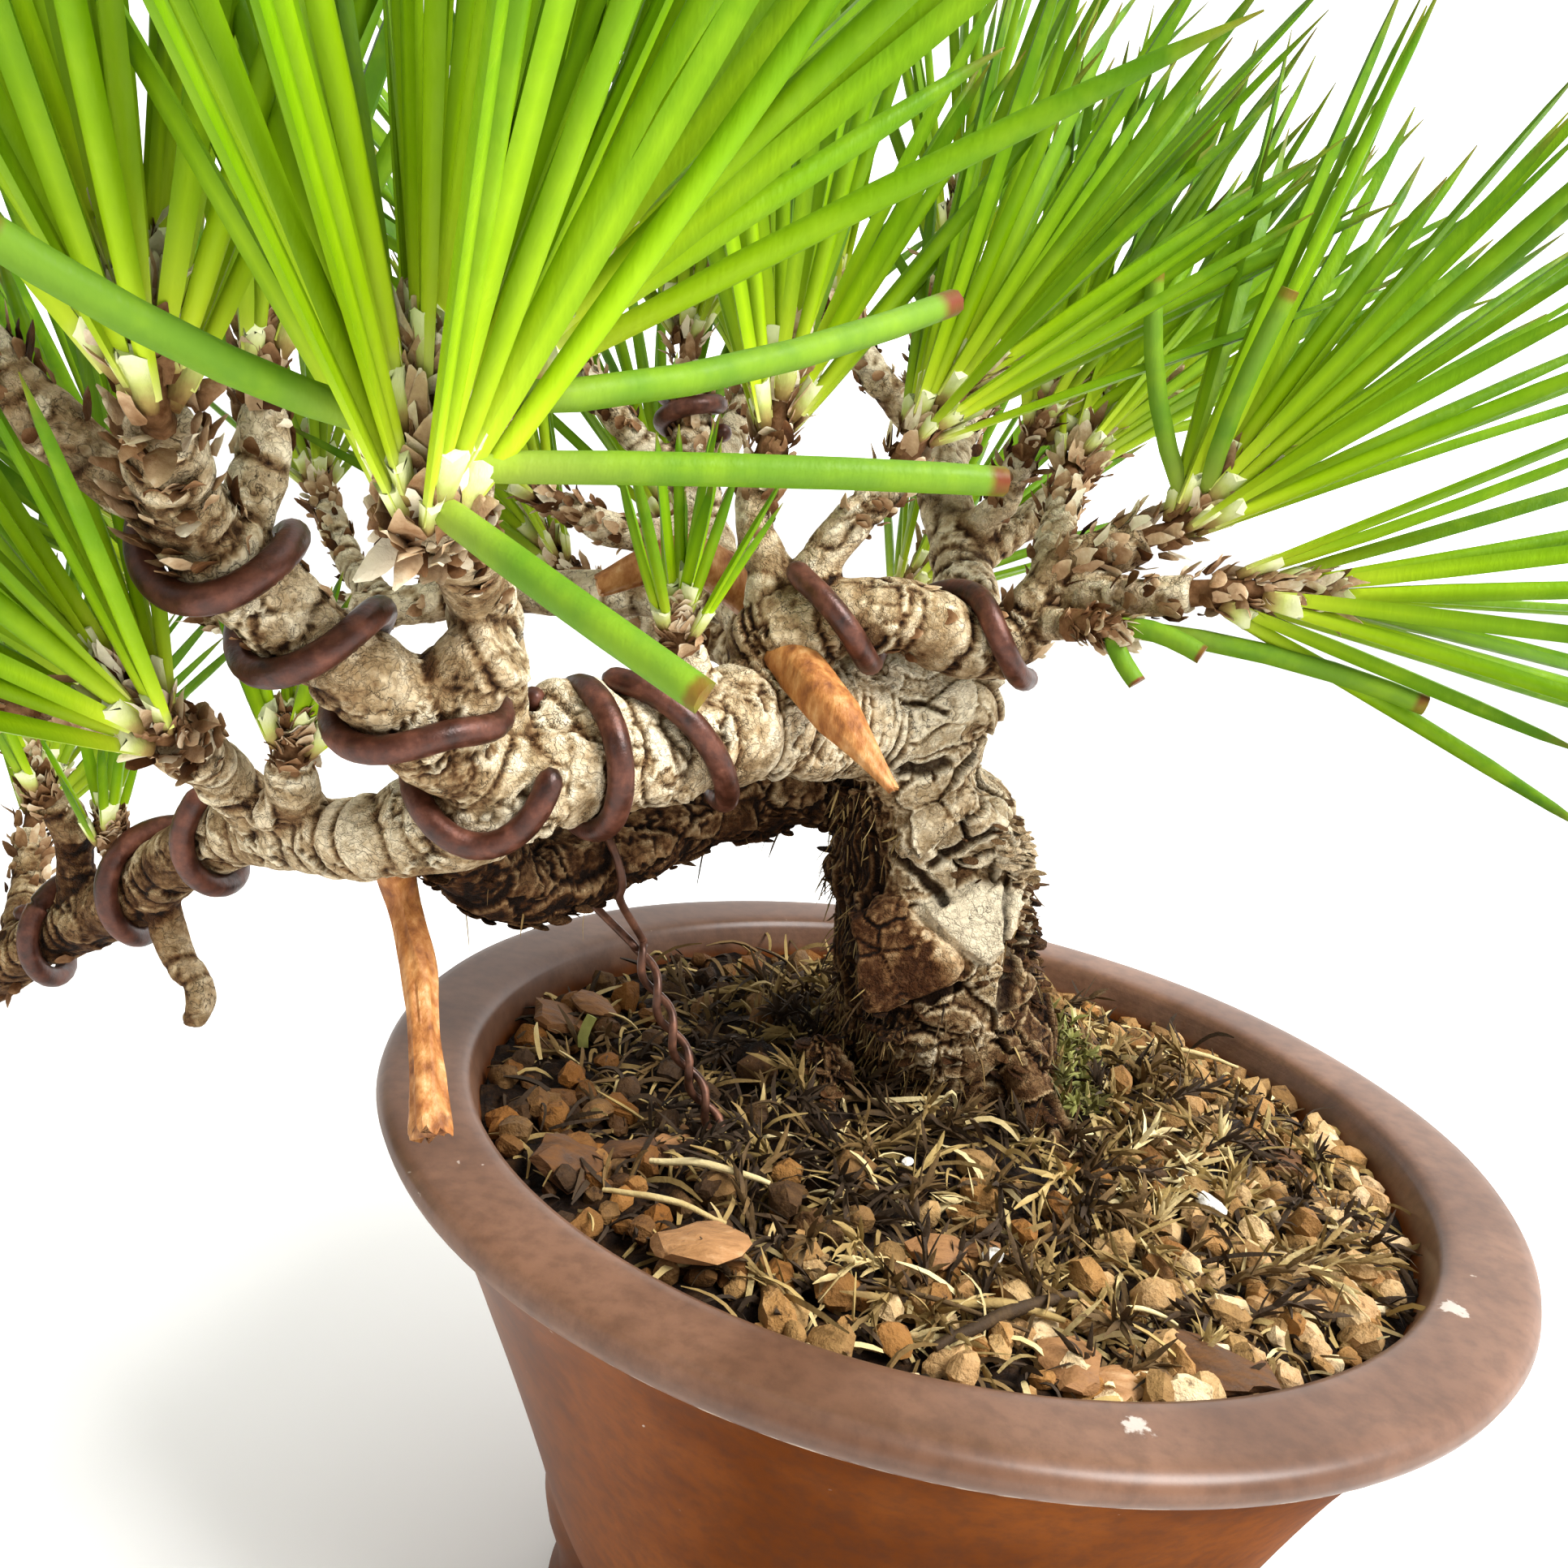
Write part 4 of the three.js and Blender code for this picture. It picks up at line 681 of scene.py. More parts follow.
BRANCHES = {
    "trunk": ([(-0.5, 5, 38.5), (-0.5, 4.5, 43.5), (-0.8, 4, 47.5), (-1.9, 3, 53.2), (-3.2, 3, 58.6),
        (-4.6, 2.6, 63.6), (-6.2, 1.6, 68.6), (-8.6, -0.6, 72.6), (-12.4, -3.6, 74)],
        [7.2, 8.8, 8.6, 7.6, 7.2, 6.9, 6.3, 5.8, 4.4]),
    "upper_limb": ([(-8.6, -1.5, 72.8), (-15.9, -8, 72.6), (-19.7, -12, 71.9), (-23.5, -16, 71.2),
        (-26.7, -19, 70.4), (-29.8, -21, 68.8), (-32.7, -21, 66.8), (-36.5, -20, 64.7),
        (-40.8, -18, 63.5), (-45.3, -15, 62.7)], [4.6, 4.0, 3.7, 3.5, 3.4, 3.3, 3.1, 2.7, 2.5, 2.4]),
    "lower_limb": ([(-6, 3, 64.5), (-9.6, 4, 66.2), (-16, 2, 65.9), (-20.6, -2, 64.2), (-24, -5, 62.9),
        (-28, -9, 61), (-31.4, -13, 61.2), (-33.6, -18, 64.6)], [4.2, 3.7, 3.5, 3.3, 3.2, 3.1, 2.9, 2.6]),
    "far_limb": ([(-43.5, -16, 63.2), (-50.2, -10, 59.8), (-56.5, -5, 54.2), (-62.8, -1, 48.9),
        (-69.1, 2, 44.4), (-75.1, 5, 38.8), (-80.6, 7.4, 35), (-86.6, 8.6, 35.4), (-91, 9, 38.6)],
        [2.7, 2.5, 2.3, 2.3, 2.2, 2.1, 1.9, 1.6, 1.3]),
    "rising_limb": ([(-27.6, -19.4, 70), (-31.4, -23, 70.4), (-34.8, -28, 74.3), (-38, -29.6, 76.9),
        (-40.8, -31.6, 79.6), (-42.4, -34, 82), (-42, -37, 84.2), (-41.1, -40.4, 86.4)],
        [3, 2.7, 2.4, 2.4, 2.3, 2.2, 1.9, 1.5]),
    "right_branch": ([(-11.4, -4.6, 73), (-17.3, -8, 76.4), (-14.8, -9, 78.8), (-12, -9, 79.9),
        (-8.4, -8, 79.9), (-4.8, -7.2, 78.9), (-2, -6.2, 79.8), (-0.8, -6, 82), (1, -6.4, 84.6),
        (4.6, -7.4, 87)], [3, 2.9, 2.6, 2.4, 2.4, 2.3, 2.1, 1.9, 1.8, 1.4]),
    "sawn_knob": ([(-32.4, -24.6, 72), (-32.6, -26.4, 74.4), (-31.2, -26.8, 76.2), (-29.4, -27, 77.6)],
        [2.4, 2.4, 2.3, 1.9]),
    "back_limb": ([(-8, 3, 70), (-14.3, 8, 73.7), (-20.6, 14.6, 76.7), (-24.6, 18.6, 82), (-26.4, 20.6, 88),
        (-27.8, 22, 94.4)], [3.2, 2.6, 2.2, 2, 1.8, 1.3]),
    "crown_limb": ([(-5, 2, 72), (-3.4, 8, 77), (-4.4, 14.6, 83), (-7.4, 18.6, 90), (-8.6, 20, 97),
        (-8.6, 20.4, 103)], [3.2, 2.7, 2.3, 2, 1.8, 1.3]),
    "rear_limb": ([(-11, 5, 68), (-13.6, 13, 68.4), (-19, 22, 70.6), (-25, 30, 74.4), (-29, 37, 80)],
        [3, 2.5, 2.1, 1.8, 1.3]),
    "side_limb": ([(-20.6, 15, 77), (-30, 17.6, 75.6), (-40, 17, 74.2), (-50, 15, 71.4), (-58, 13.4, 69.6),
        (-64, 13, 71)], [2.1, 1.9, 1.8, 1.6, 1.5, 1.2]),
    # Twigs, each of which ends at a tuft.
    "front": ([(-30.4, -20.6, 69), (-31.4, -25, 79), (-30.7, -35, 83.4), (-29.2, -44.4, 85)],
        [2, 1.9, 1.7, 1.4]),
    "front_right": ([(-31, -32.6, 82.6), (-30, -36.6, 86.4), (-28.4, -39.4, 89.4)], [1.4, 1.3, 1.2]),
    "dry": ([(-41.4, -32.4, 80.8), (-40.9, -30.4, 85), (-41.3, -30, 87.6)], [1.3, 1.3, 1.1]),
    "rising_side": ([(-42.4, -34, 82.4), (-46.6, -36.6, 85), (-50.6, -38, 89)], [1.6, 1.5, 1.2]),
    "left_low": ([(-45, -15.6, 63), (-46.2, -21, 67.4), (-45.6, -26, 69.9), (-44.9, -30, 71.4)],
        [1.7, 1.6, 1.5, 1.3]),
    "left_low_side": ([(-46, -21, 67), (-50.6, -23.4, 69.6), (-54.6, -25.4, 70.4)], [1.3, 1.2, 1.1]),
    "cut_stub": ([(-42.4, -17, 63.4), (-41.9, -21, 67.4), (-41.6, -22, 69)], [1.5, 1.4, 1.2]),
    "thin_left": ([(-64, -0.6, 48), (-63.4, -2, 53.6), (-63.5, -3, 56.6), (-64.4, -4, 58.4)],
        [1.5, 1.4, 1.4, 1.2]),
    "limb_spur": ([(-58, -3.6, 52.6), (-58.6, -4.6, 54.6), (-59.2, -5, 56)], [1.1, 1, 0.9]),
    "bud": ([(-20, -12.4, 73.6), (-21.4, -13.6, 75.4), (-22, -14, 76.8)], [1.5, 1.4, 1.3]),
    "middle": ([(-18, -9.6, 73), (-17.7, -8, 80.8), (-19.1, -8, 83.6), (-19.3, -8, 86.4), (-19.1, -8, 88)],
        [1.7, 1.5, 1.3, 1.3, 1.3]),
    "middle_right": ([(-16, -8.6, 78), (-14.9, -8, 82.7), (-13.2, -8, 85.4), (-11.6, -8, 87.6),
        (-11, -8, 89)], [1.6, 1.4, 1.3, 1.3, 1.3]),
    "right_low": ([(0.2, -6.2, 83.2), (3.6, -9.4, 83.4), (7.2, -11.4, 84.4)], [1.4, 1.3, 1.2]),
    "right_back": ([(-1.2, -6, 81), (0, -1, 83), (1, 4, 86.4), (1.6, 7, 89.4)], [1.5, 1.4, 1.3, 1.2]),
    "right_under": ([(-1.4, -6, 80.6), (-0.1, -8.4, 81), (1.3, -10.6, 81.5)], [1.2, 1.1, 1]),
    "hook": ([(-56.2, -5, 53.4), (-54.6, -5.4, 49.4), (-52.4, -6, 47.2), (-52.8, -6, 44.4)],
        [1.3, 1.2, 1.1, 0.9]),
    "crown_left": ([(-8, 19, 91.6), (-12.6, 18, 95), (-16, 17.4, 99)], [1.5, 1.4, 1.2]),
    "crown_right": ([(-4.2, 14, 82.6), (1.4, 16.4, 87), (5.4, 18.4, 92.4)], [1.7, 1.5, 1.2]),
    "crown_back": ([(-6.6, 18, 88.4), (-5, 25, 91), (-3.6, 30, 95.4)], [1.6, 1.4, 1.2]),
    "crown_front": ([(-5.2, 15.4, 84), (-2.4, 12.4, 87), (-1.4, 10.6, 91)], [1.3, 1.3, 1.2]),
    "back_left": ([(-25.4, 19.4, 84.6), (-31, 18.6, 88), (-35.4, 18, 92.4)], [1.5, 1.4, 1.2]),
    "back_low": ([(-24.4, 18.2, 81.2), (-30.4, 15, 80.6), (-35.4, 13.6, 82.4)], [1.5, 1.4, 1.2]),
    "back_rear": ([(-25.6, 20, 86), (-24, 27, 89), (-23.4, 31.6, 93.4)], [1.5, 1.4, 1.2]),
    "rear_left": ([(-21, 24.6, 71.6), (-29, 27.6, 72), (-35.6, 29.4, 75)], [1.6, 1.4, 1.2]),
    "rear_right": ([(-16, 17, 69.2), (-11, 24, 72), (-8, 29.4, 76.6)], [1.6, 1.4, 1.2]),
    "side_back": ([(-48, 15.2, 72), (-53, 21, 74), (-57, 25, 78.4)], [1.4, 1.3, 1.2]),
    "side_front": ([(-52, 14.6, 70.8), (-57, 9, 72.6), (-62, 6, 76.4)], [1.3, 1.3, 1.2]),
    "far_up": ([(-76, 5.4, 37.6), (-78.4, 3, 42), (-79.4, 1.6, 46.6)], [1.5, 1.4, 1.2]),
    "far_back": ([(-70, 2.6, 43.4), (-73, 9, 45.4), (-75, 13.4, 49.4)], [1.5, 1.4, 1.2]),
    "far_side": ([(-83, 8, 34.8), (-86.4, 3, 37.6), (-88, -0.4, 41.4)], [1.4, 1.3, 1.2]),
}
REAR = "back_limb crown_limb rear_limb side_limb crown_left crown_right crown_back crown_front back_left " \
       "back_low back_rear rear_left rear_right side_back side_front".split()
FRONT = [name for name in BRANCHES if name not in REAR + ["trunk"]]
# Lumps of bark that stand out of the trunk: centre, half sizes, turn about Z, and flat cuts.
BARK_LUMPS = [((1.0, -1.0, 64.4), (1.8, 2.0, 2.6), 0.5, 6), ((-0.6, -1.0, 67.3), (1.3, 1.6, 1.7), 0.4, 6),
              ((-5.8, -1.8, 74.2), (4.0, 4.0, 3.3), 0.2, 9), ((-27.6, -17.8, 72.5), (2.7, 2.4, 2.6), 0.3, 8)]
# Plates of bark on the trunk's front: the corners of each one's outline in x and z, clockwise, y of
# its front face, and how far that turns to the right. The first is dark, the second pale.
BARK_SLABS = [([(-9.4, 58.9), (-7, 60.8), (-5.7, 60.6), (-1.7, 58.3), (-0.6, 57.1), (-1.1, 55.8),
              (-5.9, 52.6), (-7.3, 52.2), (-8.5, 54.9)], -5.9, -0.12), ([(-5.4, 60.1), (-1.1, 62.9),
              (2.4, 62.3), (2, 58.6), (0.5, 56.9), (-0.6, 57), (-2.6, 58.5)], -5.2, 0.22), ([(-8, 51.4),
              (-7.3, 52.5), (-1, 55.7), (1.1, 57.3), (2.2, 55.2), (0.4, 52), (-0.6, 51.2), (-5.4, 50)],
              -5.3, 0.1)]
# Open cracks in the trunk's front: two ends in x and z, and the width.
GASHES = [((-9.1, 74.9), (-5.4, 74.2), 0.2), ((1.1, 62.9), (1.2, 60.6), 0.22), ((1.2, 60.6), (1.7, 58.3),
          0.25), ((2.3, 58.6), (2.2, 54), 0.55), ((-9.9, 58.6), (-8.9, 55.6), 0.55), ((-8.9, 55.6),
          (-8.0, 52), 0.5), ((-7.4, 52.1), (-1.2, 55.3), 0.3), ((-7, 63.6), (-3.4, 61.6), 0.38),
          ((-4.4, 63.4), (-0.8, 66.4), 0.35), ((-7.6, 69.6), (-4.4, 70.6), 0.4)]
# Rolls of bark over the trunk, and small sawn stubs on the limbs: route and radii.
BARK_ROLLS = [([(-7.2, -4.4, 64.3), (-4.4, -4.6, 66.9), (-2.4, -3.2, 68.9)], [0.9, 1.0, 0.9]),
              ([(-7.6, -4.2, 70), (-6.4, -4.6, 71.8), (-5.4, -4.6, 73.3)], [0.8, 1.0, 0.8]),
              ([(-3, -3.6, 68.4), (-1.4, -2.6, 66.2), (0.8, -2.4, 64.6)], [1.2, 1.3, 1.2]),
              ([(-9.6, -2, 49), (-8.4, -4.4, 46), (-9.6, -7.4, 43.4)], [2, 1.6, 1]), ([(4, -2, 50),
              (6, -4.4, 46.6), (8.6, -6.6, 43.6)], [1.8, 1.5, 1]), ([(-33.6, -21.4, 70.6),
              (-34.6, -24, 70.9), (-35.1, -25.4, 70.9)], [1.6, 1.35, 1.2]), ([(-42.6, -18, 64.4),
              (-44, -20.4, 65.2)], [1.4, 1.1])]
TRUNK_PITCH, FRONT_PITCH, REAR_PITCH = 0.19, 0.28, 0.4


def follow(route, radii, t):
    """Places along a smooth line through the route's points (Catmull-Rom, half tension, each end
    carried on straight), with its direction, two square directions and the radius. "over" is up,
    or to the front on an upright stretch, made square to the line, and "side" is along x over."""
    route = np.array(route, float)
    knots = np.concatenate([2 * route[:1] - route[1:2], route, 2 * route[-1:] - route[-2:-1]])
    x = np.clip(t, 0, 1) * (len(route) - 1)
    i = np.minimum(x.astype(int), len(route) - 2)
    u = (x - i)[:, None]
    p0, p1, p2, p3 = (knots[i + k] for k in range(4))
    v1, v2 = (p2 - p0) / 2, (p3 - p1) / 2
    square, cube = 3 * p2 - 3 * p1 - 2 * v1 - v2, 2 * p1 - 2 * p2 + v1 + v2
    centre = p1 + v1 * u + square * u ** 2 + cube * u ** 3
    along = unit(v1 + 2 * square * u + 3 * cube * u ** 2)
    whole = route[-1] - route[0]
    upright = abs(whole[2]) > 0.75 * np.linalg.norm(whole)
    over = np.array([0, -1.0, 0] if upright else [0, 0, 1.0])
    over = unit(over - along * (along @ over)[:, None])
    return centre, along, over, np.cross(along, over), np.interp(x, np.arange(len(radii)), radii)


def limb(route, radii, phase):
    """A branch before its bark: rings along its line, whose radius swells and narrows by slow sines
    of the angle and of the place along it."""
    t = np.linspace(0, 1, max(6, int(steps(route).sum() / 0.7)))
    sides = 48 if max(radii) > 5 else 24
    centre, _, over, side, radius = follow(route, radii, t)
    angle, t = whole_turn(sides), t[:, None]
    swell = (0.5 * np.sin(2 * angle + 19 * t + phase) + 0.3 * np.sin(3 * angle - 31 * t + 2 * phase)
             + 0.2 * np.sin(47 * t + phase)) * np.minimum(1, 6 * (1 - t)) * 0.08
    radius = (radius[:, None] * (1 + swell))[..., None]
    points = centre[:, None] + radius * swing(over[:, None], side[:, None], angle[:, None])
    return points.reshape(-1, 3), closed_grid(len(t), sides)


def ball(top, rows, columns):
    """Directions all round: rows from a lift of -top to top, in radians, of columns round Z."""
    lift = np.linspace(-top, top, rows)[:, None]
    return about(np.cos(lift), whole_turn(columns), np.sin(lift))


def lump(centre, sizes, turned, cuts, seed):
    """A ball cut flat all round, like a stone: along each direction it reaches to the nearest of
    several random planes."""
    way = ball(1.5, 22, 36)
    draw = np.random.default_rng(seed)
    planes = unit(np.append(directions(draw, cuts), [[0.2, -1, 0.1]], 0))
    reach = np.append(draw.uniform(0.66, 0.95, cuts), 0.9) / np.maximum(way @ planes.T, 0.05)
    shape = way * np.minimum(reach.min(-1), 1.08)[..., None] * sizes
    c, s = np.cos(turned), np.sin(turned)
    return (shape @ np.array([[c, s, 0], [-s, c, 0], [0, 0, 1]]) + centre).reshape(-1, 3), closed_grid(22, 36)


def sides_of(corners):
    """The outward directions of an outline's sides in x and z, and each side's distance along its own."""
    corners = np.array(corners, float)
    run = np.roll(corners, -1, 0) - corners
    out = np.stack([-run[:, 1], run[:, 0]], -1) / np.linalg.norm(run, axis=1, keepdims=True)
    return out, (out * corners).sum(1)


def slab(corners, front, turned):
    """A plate of bark as a closed shape: along each direction from its middle it reaches to the
    nearest of the planes of its sides, its turned front face and its back."""
    out, reach = sides_of(corners)
    middle = np.mean(corners, axis=0)
    planes = np.concatenate([np.insert(out, 1, -0.25, 1), [(turned, -1, 0.12), (0, 1, 0)]])
    reach = np.append(reach - out @ middle, [1.8, 3.2])
    way = ball(1.55, 44, 72)
    shape = way * (reach / np.maximum(way @ planes.T, 0.03)).min(-1)[..., None]
    return (shape + [middle[0], front + 1.8, middle[1]]).reshape(-1, 3), closed_grid(44, 72)


def on_slab(points, corners):
    """1 on the front of a plate and 0 off it, by the largest distance past one of its sides."""
    out, reach = sides_of(corners)
    past = (points[:, [0, 2]] @ out.T - reach).max(-1)
    return smooth(0.35, -0.25, past) * smooth(0, -1.5, points[:, 1])


def merged(shapes, pitch):
    """One skin round overlapping closed shapes, in even quads, smoothed twice by moving each point
    to the mean of its neighbours. Gives the points in millimetres, the quads and the edges."""
    points, faces = joined(shapes)
    mass = piece("mass", points, faces, clay)
    skin = mass.modifiers.new("skin", "REMESH")
    skin.mode, skin.voxel_size = "VOXEL", pitch * MM
    settle(mass)
    mesh = mass.data
    points, quads, edges = (np.zeros(n * k, kind) for n, k, kind in (
        (len(mesh.vertices), 3, np.float32), (len(mesh.loops), 1, np.int32), (len(mesh.edges), 2, np.int32)))
    mesh.vertices.foreach_get("co", points)
    mesh.loops.foreach_get("vertex_index", quads)
    mesh.edges.foreach_get("vertices", edges)
    bpy.data.objects.remove(mass)
    points, edges = points.reshape(-1, 3).astype(float) / MM, edges.reshape(-1, 2)
    return means(means(points, edges), edges), quads.reshape(-1, 4), edges


def means(numbers, edges):
    """For each point, the mean of the numbers of its neighbours along the edges."""
    ends, others = np.concatenate([edges, edges[:, ::-1]]).T
    count = np.bincount(ends, minlength=len(numbers))
    columns = numbers.reshape(len(numbers), -1).T
    return np.stack([np.bincount(ends, column[others], len(numbers)) / count for column in columns],
                    -1).reshape(numbers.shape)


def normals(points, quads):
    """Outward direction at each point: the sum of its faces' directions, from their diagonals."""
    face = np.cross(points[quads[:, 2]] - points[quads[:, 0]], points[quads[:, 3]] - points[quads[:, 1]])
    return unit(np.stack([np.bincount(quads.ravel(), np.repeat(column, 4), len(points))
                          for column in face.T], -1))


def cracked(points, size, seed=0):
    """Random cells over space. For each point: how far it is inside its cell, from 0 on an edge,
    its cell's own random number, and a tilt, which is the way from the cell's seed to the point along
    a direction of the cell's own. Each cube of a lattice holds one cell's seed."""
    place = points / size
    cube = np.floor(place).astype(np.int64)
    nearest, second = np.full(len(points), 9.0), np.full(len(points), 9.0)
    owner, tilt = np.zeros(len(points)), np.zeros(len(points))
    for offset in np.ndindex(3, 3, 3):
        at = cube + offset - 1
        seedling = at + 0.5 + 0.45 * np.stack([scatter(at, seed + k) for k in range(3)], -1)
        way = place - seedling
        away = np.linalg.norm(way, axis=1)
        closer = away < nearest
        owner[closer] = scatter(at[closer], seed + 3)
        leaning = np.stack([scatter(at[closer], seed + k) for k in (4, 5, 6)], -1)
        tilt[closer] = (way[closer] * leaning).sum(1)
        second = np.minimum(second, np.maximum(away, nearest))
        nearest = np.minimum(nearest, away)
    return second - nearest, owner, tilt


def smooth(low, high, values):
    """0 below low and 1 above high, with 3t^2 - 2t^3 between."""
    t = np.clip((values - low) / (high - low), 0, 1)
    return t * t * (3 - 2 * t)


def bell(points, centre, reach):
    """1 at a place and 0 away from it: e^-d^2, where d is the distance over the reach along each axis."""
    return np.exp(-(((points - centre) / reach) ** 2).sum(1))


# Samples along every branch, half a millimetre apart, that tell where on which branch a point is: the
# place, three square directions, the girth, the length from the branch's root, and its number.
PLACE, ALONG, OVER, SIDE = (slice(k, k + 3) for k in (0, 3, 6, 9))
GIRTH, REACH, BRANCH = 12, 13, 14
TRUNK, UPPER_LIMB, LOWER_LIMB, RIGHT_BRANCH = (
    list(BRANCHES).index(name) for name in ("trunk", "upper_limb", "lower_limb", "right_branch"))
samples = []
for number, (route, radii) in enumerate(BRANCHES.values()):
    length = steps(route).sum()
    t = np.linspace(0, 1, int(length / 0.5) + 2)
    samples.append(np.column_stack([*follow(route, radii, t), t * length, np.full(len(t), number)]))
samples = np.concatenate(samples)


def nearest_sample(points):
    """The sample whose branch surface each point is nearest to, and how far outside it the point is."""
    best, depth = np.zeros(len(points), int), np.zeros(len(points))
    for start in range(0, len(points), 4000):
        block = points[start:start + 4000]
        # |a - b|^2 = |a|^2 + |b|^2 - 2 a . b
        square = ((block ** 2).sum(1)[:, None] + (samples[:, PLACE] ** 2).sum(1)
                  - 2 * block @ samples[:, PLACE].T)
        gap = np.sqrt(np.maximum(square, 0)) - samples[:, GIRTH]
        best[start:start + 4000] = gap.argmin(1)
        depth[start:start + 4000] = gap.min(1)
    return best, depth


def gashes(points):
    """How open the cracks in the trunk's front are: 1 on the middle line of a wide one, 0 off them."""
    seen = points[:, [0, 2]] + 0.25 * np.stack([noise(points, 0.9, 81), noise(points, 0.9, 82)], -1)
    gash = np.zeros(len(points))
    for first, last, width in GASHES:
        run = np.subtract(last, first)
        t = np.clip((seen - first) @ run / (run @ run), 0, 1)[:, None]
        gap = np.linalg.norm(seen - first - t * run, axis=1)
        gash = np.maximum(gash, min(1, 2.6 * width) * smooth(1.5 * width, 0.4 * width, gap))
    return gash * smooth(0.5, -1, points[:, 1])


def bark(name, parts, extra, pitch):
    """Merges branches into one skin and raises its bark: rings across the branch, plates with a
    height and a tilt of their own, furrows where the plates meet, and fine roughness."""
    shapes = [limb(*BRANCHES[part], phase) for phase, part in enumerate(parts)] + extra
    points, quads, edges = merged(shapes, pitch)
    near = samples[nearest_sample(points)[0]]
    offset, girth, branch = points - near[:, PLACE], near[:, GIRTH], near[:, BRANCH]
    along, over, side = ((offset * near[:, way]).sum(1) for way in (ALONG, OVER, SIDE))
    # The place on a branch as if it were straight, so that patterns follow it.
    straight = np.stack([along + near[:, REACH] + 41 * branch, over, side + 29 * branch], -1)

    # Where each kind of bark is.
    lower_limb, upper_limb = branch == LOWER_LIMB, branch == UPPER_LIMB
    trunk = (branch == TRUNK) * smooth(4.2, 6, girth)
    old = np.maximum(trunk, 0.7 * lower_limb)
    dark_plate, pale_plate, foot_ring = (on_slab(points, corners) for corners, *_ in BARK_SLABS)
    plates = np.maximum(dark_plate, pale_plate)
    # The trunk's left side, which gets fibrous strands and hairs and is painted dark, as shade.
    dark_side = trunk * smooth(0.05, 0.65, -offset[:, 0] / girth)
    dark_side = dark_side * smooth(72, 68, points[:, 2]) * (1 - plates)
    knob = bell(points, [-7, -4, 75], [4.6, 3, 2.6])
    # The trunk draws in at its right side, between the knob and the shoulder under it.
    waist = bell(points, [-0.9, 2, 69.6], [2.4, 6, 1.7]) * (branch == TRUNK)
    gash = gashes(points) * ~upper_limb * ~lower_limb

    # The patterns: folds, knots and strands, and three sizes of plates with furrows between them.
    wave = noise(straight * [0.62, 0.17, 0.17] + 0.25 * noise(points, 1.8, 8)[:, None], 1, 11)
    crease, fold = smooth(0.12, 0.0, np.abs(wave)), np.sqrt(np.abs(wave))
    knots = rough(straight * [1, 0.7, 0.7], 3.4, 17, 3)
    strand = rough(straight * [0.32, 1.5, 1.5], 1.1, 43, 3)
    bend, sway = noise(points, 1.2, 9)[:, None], noise(points, 2.4, 3)[:, None]
    scale_edge, scale_own, scale_tilt = cracked(straight * [1, 0.72, 0.72] + 0.5 * bend, 1.5, 23)
    plate_edge, plate_own, plate_tilt = cracked(points * [0.9, 1, 1.1] + 1.3 * sway, 3.1, 31)
    flake_edge, flake_own, flake_tilt = cracked(points + 0.4 * bend, 1.15, 37)
    peeling = smooth(-0.25, 0.45, noise(points, 2.6, 13))
    open_here = smooth(-0.1, 0.55, noise(points, 3.1, 71))
    scale_furrow = smooth(0.12, 0.0, scale_edge) * peeling
    plate_furrow = smooth(0.09, 0.0, plate_edge) * open_here
    flake_furrow = smooth(0.14, 0, flake_edge) * peeling

    # The relief.
    young = (0.6 * fold + 0.35 * knots - 0.42 + (0.1 * scale_own + 0.32 * scale_tilt) * peeling
             - 0.1 * scale_furrow)
    aged = (0.36 * plate_own + 0.55 * plate_tilt - 0.5 * plate_furrow + 0.4 * knots
            + (0.14 * flake_own + 0.16 * flake_tilt - 0.08 * flake_furrow) * peeling)
    aged = aged * (1 - dark_side) + dark_side * (0.8 * strand - 0.45 + 0.3 * knots)
    aged = aged * (1 - 0.75 * plates) + 0.1 * plates * knots
    thick = np.clip(girth / 3.2, 0.25, 1.1)
    height = (young * (1 - old) + aged * old) * thick * (1 - 0.65 * knob)
    height = height + 0.07 * rough(points, 0.8, 51, 2) + 0.05 * strand
    points = points + normals(points, quads) * (height - 0.7 * gash - 2.0 * waist)[:, None]
    normal = normals(points, quads)
    sunk = means(means(points, edges), edges)
    cavity = ((sunk - points) * normal).sum(1)

    # The furrows; the darkening, which is painted shade on the trunk's left side, under the branches and over
    # the whole lower limb, together with the far limb's own dark bark and bark that is darker towards the
    # trunk's foot and at its lower right; and how light and how warm the bark is.
    furrow = np.maximum(0.7 * crease * open_here, 0.5 * scale_furrow) * (1 - old)
    furrow = furrow + np.maximum(plate_furrow, 0.5 * flake_furrow) * old * (1 - 0.95 * plates)
    furrow = np.maximum(furrow * (1 - 0.8 * knob), 1.3 * gash)
